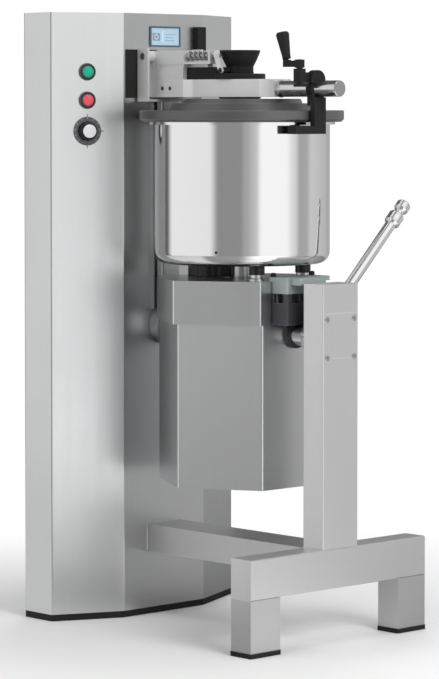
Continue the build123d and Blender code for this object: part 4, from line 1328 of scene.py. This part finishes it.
@dataclass
class LidLatch(SubAssembly):
    """The sprung latch between the lid's arm and the funnel.

    Attributes:
        pivot: middle of the thumb lever's pivot, in millimetres.
        slope: direction up along the thumb lever.
        ridges: distances of the thumb ridges along it.
        ridge_reach: left and right end of a ridge.
        ridge_half: half the width of a ridge.
        ridge_depth: where a ridge starts and ends above the lever's face.
        washer: section of the washer: radius and height above the lever's face.
    """

    nodes: ClassVar[dict[str, str]] = {
        "latch_housing": "black_plastic", "latch_spring": "spring_wire", "latch_rod": "turned_steel",
        "thumb_lever": "arm_steel",
    }
    pivot: Point = (81.8, -58.0, 1266.0)
    slope: Pair = (-0.351, 0.936)
    ridges: tuple[float, ...] = (30.0, 34.0, 38.0)
    ridge_reach: Pair = (-5.0, 5.0)
    ridge_half: float = 0.7
    ridge_depth: Pair = (-0.1, 0.5)
    washer: ClassVar[Profile] = [(6.2, 0.0), (6.0, 0.5), (3.3, 0.5), (3.3, 0.0)]

    def add_details(self) -> None:
        """Ridges for the thumb and a washer on the pivot."""
        lean, rise = self.slope
        seat = Seat(self.pivot, (rise, 0.0, -lean), (lean, 0.0, rise))
        outlines = [bar_outline(self.ridge_reach, distance, self.ridge_half) for distance in self.ridges]
        ridges = [(seat, outline) for outline in outlines]
        self.fit_plates(ridges, self.ridge_depth, "thumb_ridges", "thumb_lever", "turned_steel")
        self.fit_turned([(seat, self.washer)], 32, "pivot_washer", "thumb_lever", "dark_mark")


@dataclass
class ArmClamp(SubAssembly):
    """The sliding clamp on the bar with its pinch screw and crank.

    Attributes:
        hub: middle of the top of the crank's hub, in millimetres.
        washer: section of the washer: radius and height above the hub.
    """

    nodes: ClassVar[dict[str, str]] = {
        "clamp_body": "black_plastic", "clamp_crank": "black_plastic", "crank_grip": "black_plastic",
    }
    hub: Point = (317.0, -38.0, 1288.0)
    washer: ClassVar[Profile] = [(6.0, -0.2), (6.0, 0.6), (3.6, 0.8), (3.4, 0.2), (0.0, 0.2)]

    def add_details(self) -> None:
        """Turned washer and socket on top of the crank's hub."""
        top = Seat(self.hub, EAST, NORTH)
        self.fit_turned([(top, self.washer)], 32, "crank_washer", "crank", "turned_steel")


# ---- studio ------------------------------------------------------------------------------
@dataclass(frozen=True)
class Lamp:
    """A round soft lamp.

    Attributes:
        name: its name.
        spot: where it hangs.
        aim: the point that it faces.
        size: its diameter, in metres.
        power: its power, in watts.
    """

    name: str
    spot: Point
    aim: Point
    size: float
    power: float

    def hang(self) -> None:
        """Put the lamp into the scene, out of the metal's sight."""
        data = bpy.data.lights.new(self.name, "AREA")
        data.shape = "DISK"
        data.size = self.size
        data.energy = self.power
        lamp = bpy.data.objects.new(self.name, data)
        lamp.location = self.spot
        direction = Vector(self.aim) - Vector(self.spot)
        lamp.rotation_euler = direction.to_track_quat("-Z", "Y").to_euler()
        lamp.visible_glossy = False
        bpy.context.scene.collection.objects.link(lamp)


@dataclass
class Studio:
    """Camera, lamps, surround and floor.

    Attributes:
        lens: focal length in millimetres.
        sensor: width of the camera's sensor in millimetres.
        eye: the camera's place.
        heading: compass heading of the view, from +X towards +Y, in degrees.
        tilt: how far the view dips, in degrees.
        shift: vertical shift of the picture, in picture heights.
        far: farthest distance that the camera sees, in metres.
        fill: strength of the surround's even light.
        floor_radius: radius of the floor, in metres.
        floor_drop: how far the floor lies below the feet.
        floor_grey: grey of the floor that is lit.
        floor_roughness: its roughness.
        fade: distances from the middle between which the floor turns white.
        walls: grey of the surround that metal mirrors, by compass heading in degrees.
        floor_shades: grey of the floor that metal mirrors, by compass heading in degrees.
        lamps: the lamps.
    """

    lens: float = 157.3
    sensor: float = 36.0
    eye: Point = (4.973, -4.643, 1.1875)
    heading: float = 136.86
    tilt: float = 2.36
    shift: float = -0.165
    far: float = 60.0
    fill: float = 0.4
    floor_radius: float = 3.2
    floor_drop: float = 0.0005
    floor_grey: float = 0.9
    floor_roughness: float = 0.85
    fade: Pair = (0.55, 1.5)
    walls: ClassVar[list[Pair]] = [
        (-180, 0.12), (-158, 0.12), (-146, 0.86), (-87, 0.84), (-73, 0.28), (-46, 0.28), (-38, 0.4),
        (-26, 0.55), (-17, 1.0), (15, 1.0), (30, 0.7), (38, 0.4), (48, 0.4), (60, 0.6), (98, 0.5),
        (104, 0.42), (124, 0.42), (134, 0.2), (142, 0.12),
    ]
    floor_shades: ClassVar[list[Pair]] = [
        (-180, 0.2), (-150, 0.75), (-99, 0.75), (-85, 0.32), (-45, 0.32), (-22, 0.95), (10, 0.95),
        (34, 0.36), (70, 0.36), (120, 0.2),
    ]
    lamps: tuple[Lamp, ...] = (
        Lamp("key_lamp", (4.2, -0.6, 2.4), (0.0, 0.0, 0.6), 2.4, 120.0),
        Lamp("side_lamp", (-1.2, -3.8, 3.0), (0.0, 0.0, 0.8), 2.4, 20.0),
        Lamp("back_lamp", (-2.4, 2.8, 3.0), (0.0, 0.0, 0.8), 2.4, 45.0),
        Lamp("top_lamp", (0.3, 0.0, 4.2), (0.0, 0.0, 0.0), 3.0, 42.0),
    )

    def build(self) -> None:
        """Set up the whole studio."""
        self._camera()
        self._surround()
        for lamp in self.lamps:
            lamp.hang()
        self._floor()
        bpy.context.scene.view_settings.view_transform = "Standard"

    def _camera(self) -> None:
        """Place the camera and make it the scene's."""
        data = bpy.data.cameras.new("camera")
        data.lens = self.lens
        data.sensor_width = self.sensor
        data.sensor_fit = "AUTO"
        data.shift_y = self.shift
        data.clip_end = self.far
        camera = bpy.data.objects.new("camera", data)
        camera.location = self.eye
        pitch = math.radians(90.0 - self.tilt)
        camera.rotation_euler = Euler((pitch, 0.0, math.radians(self.heading - 90.0)), "XYZ")
        bpy.context.scene.collection.objects.link(camera)
        bpy.context.scene.camera = camera

    def _surround(self) -> None:
        """A white background, an even light, and walls of several greys that metal mirrors."""
        world = bpy.data.worlds.new("surround")
        bpy.context.scene.world = world
        tree = emptied_tree(world)
        walls = self._by_heading(tree, "Generated", self.walls)
        path = tree.add("ShaderNodeLightPath").outputs
        seen = tree.work_out("MAXIMUM", path["Is Camera Ray"], path["Is Transmission Ray"])
        mirrored = tree.blend(path["Is Glossy Ray"], grey(self.fill), walls)
        background = tree.add("ShaderNodeBackground", {"Color": tree.blend(seen, mirrored, grey(1.0))})
        tree.add("ShaderNodeOutputWorld", {"Surface": background.outputs[0]})

    @staticmethod
    def _by_heading(tree: ShaderTree, coordinates: str, levels: list[Pair]) -> Socket:
        """Grey level that changes with the compass heading seen from the middle of the machine.

        Args:
            tree: the tree that it is added to.
            coordinates: output of the Texture Coordinate node that is read.
            levels: heading in degrees and grey level, from -180 upwards.

        Returns:
            The grey as a colour.
        """
        axes = tree.add("ShaderNodeSeparateXYZ", {0: tree.place(coordinates)}).outputs
        angle = tree.work_out("ARCTAN2", axes["Y"], axes["X"])
        turn = tree.span(angle, 0.0, 1.0, -math.pi, math.pi)
        node = tree.add("ShaderNodeValToRGB", {"Fac": turn})
        ramp = node.color_ramp
        ramp.interpolation = "EASE"
        while len(ramp.elements) > 1:
            ramp.elements.remove(ramp.elements[-1])
        first, *others = levels + [(180.0, levels[0][1])]
        ramp.elements[0].position = 0.0
        ramp.elements[0].color = (*grey(first[1]), 1.0)
        for heading, level in others:
            ramp.elements.new((heading + 180.0) / 360.0).color = (*grey(level), 1.0)
        return node.outputs["Color"]

    def _floor(self) -> None:
        """A round pale floor that fades into the background at its rim."""
        mesh = bmesh.new()
        bmesh.ops.create_circle(mesh, cap_ends=True, segments=96, radius=self.floor_radius)
        floor = to_object(mesh, "floor")
        floor.location.z = -self.floor_drop
        material = bpy.data.materials.new("floor_paper")
        tree = emptied_tree(material)
        path = tree.add("ShaderNodeLightPath").outputs
        mirrored = self._by_heading(tree, "Object", self.floor_shades)
        shade = tree.blend(path["Is Glossy Ray"], grey(self.floor_grey), mirrored)
        look = {"Base Color": shade, "Roughness": self.floor_roughness}
        paper = tree.add("ShaderNodeBsdfPrincipled", look)
        glow = tree.add("ShaderNodeEmission")
        length = tree.add("ShaderNodeVectorMath", {0: tree.place()}, operation="LENGTH")
        away = tree.span(length.outputs["Value"], 0.0, 1.0, *self.fade)
        rim = tree.work_out("MULTIPLY", away, path["Is Camera Ray"])
        mix = tree.add("ShaderNodeMixShader", {0: rim, 1: paper.outputs[0], 2: glow.outputs[0]})
        tree.add("ShaderNodeOutputMaterial", {"Surface": mix.outputs[0]})
        floor.data.materials.append(material)


def main() -> None:
    """Build the studio, then each sub-assembly in turn."""
    logging.basicConfig(level=logging.INFO, format="%(message)s")
    paints = Paintbox()
    Studio().build()
    fixed = (Cabinet, ControlPanel, DisplayUnit, Stand)
    tilting = (TiltUnit, TiltLever, KnifeRotor, Lid, LidLatch, ArmClamp)
    for group in fixed + tilting:
        LOG.info("-- %s", group.__name__)
        group(paints).build()


if __name__ == "__main__":
    main()
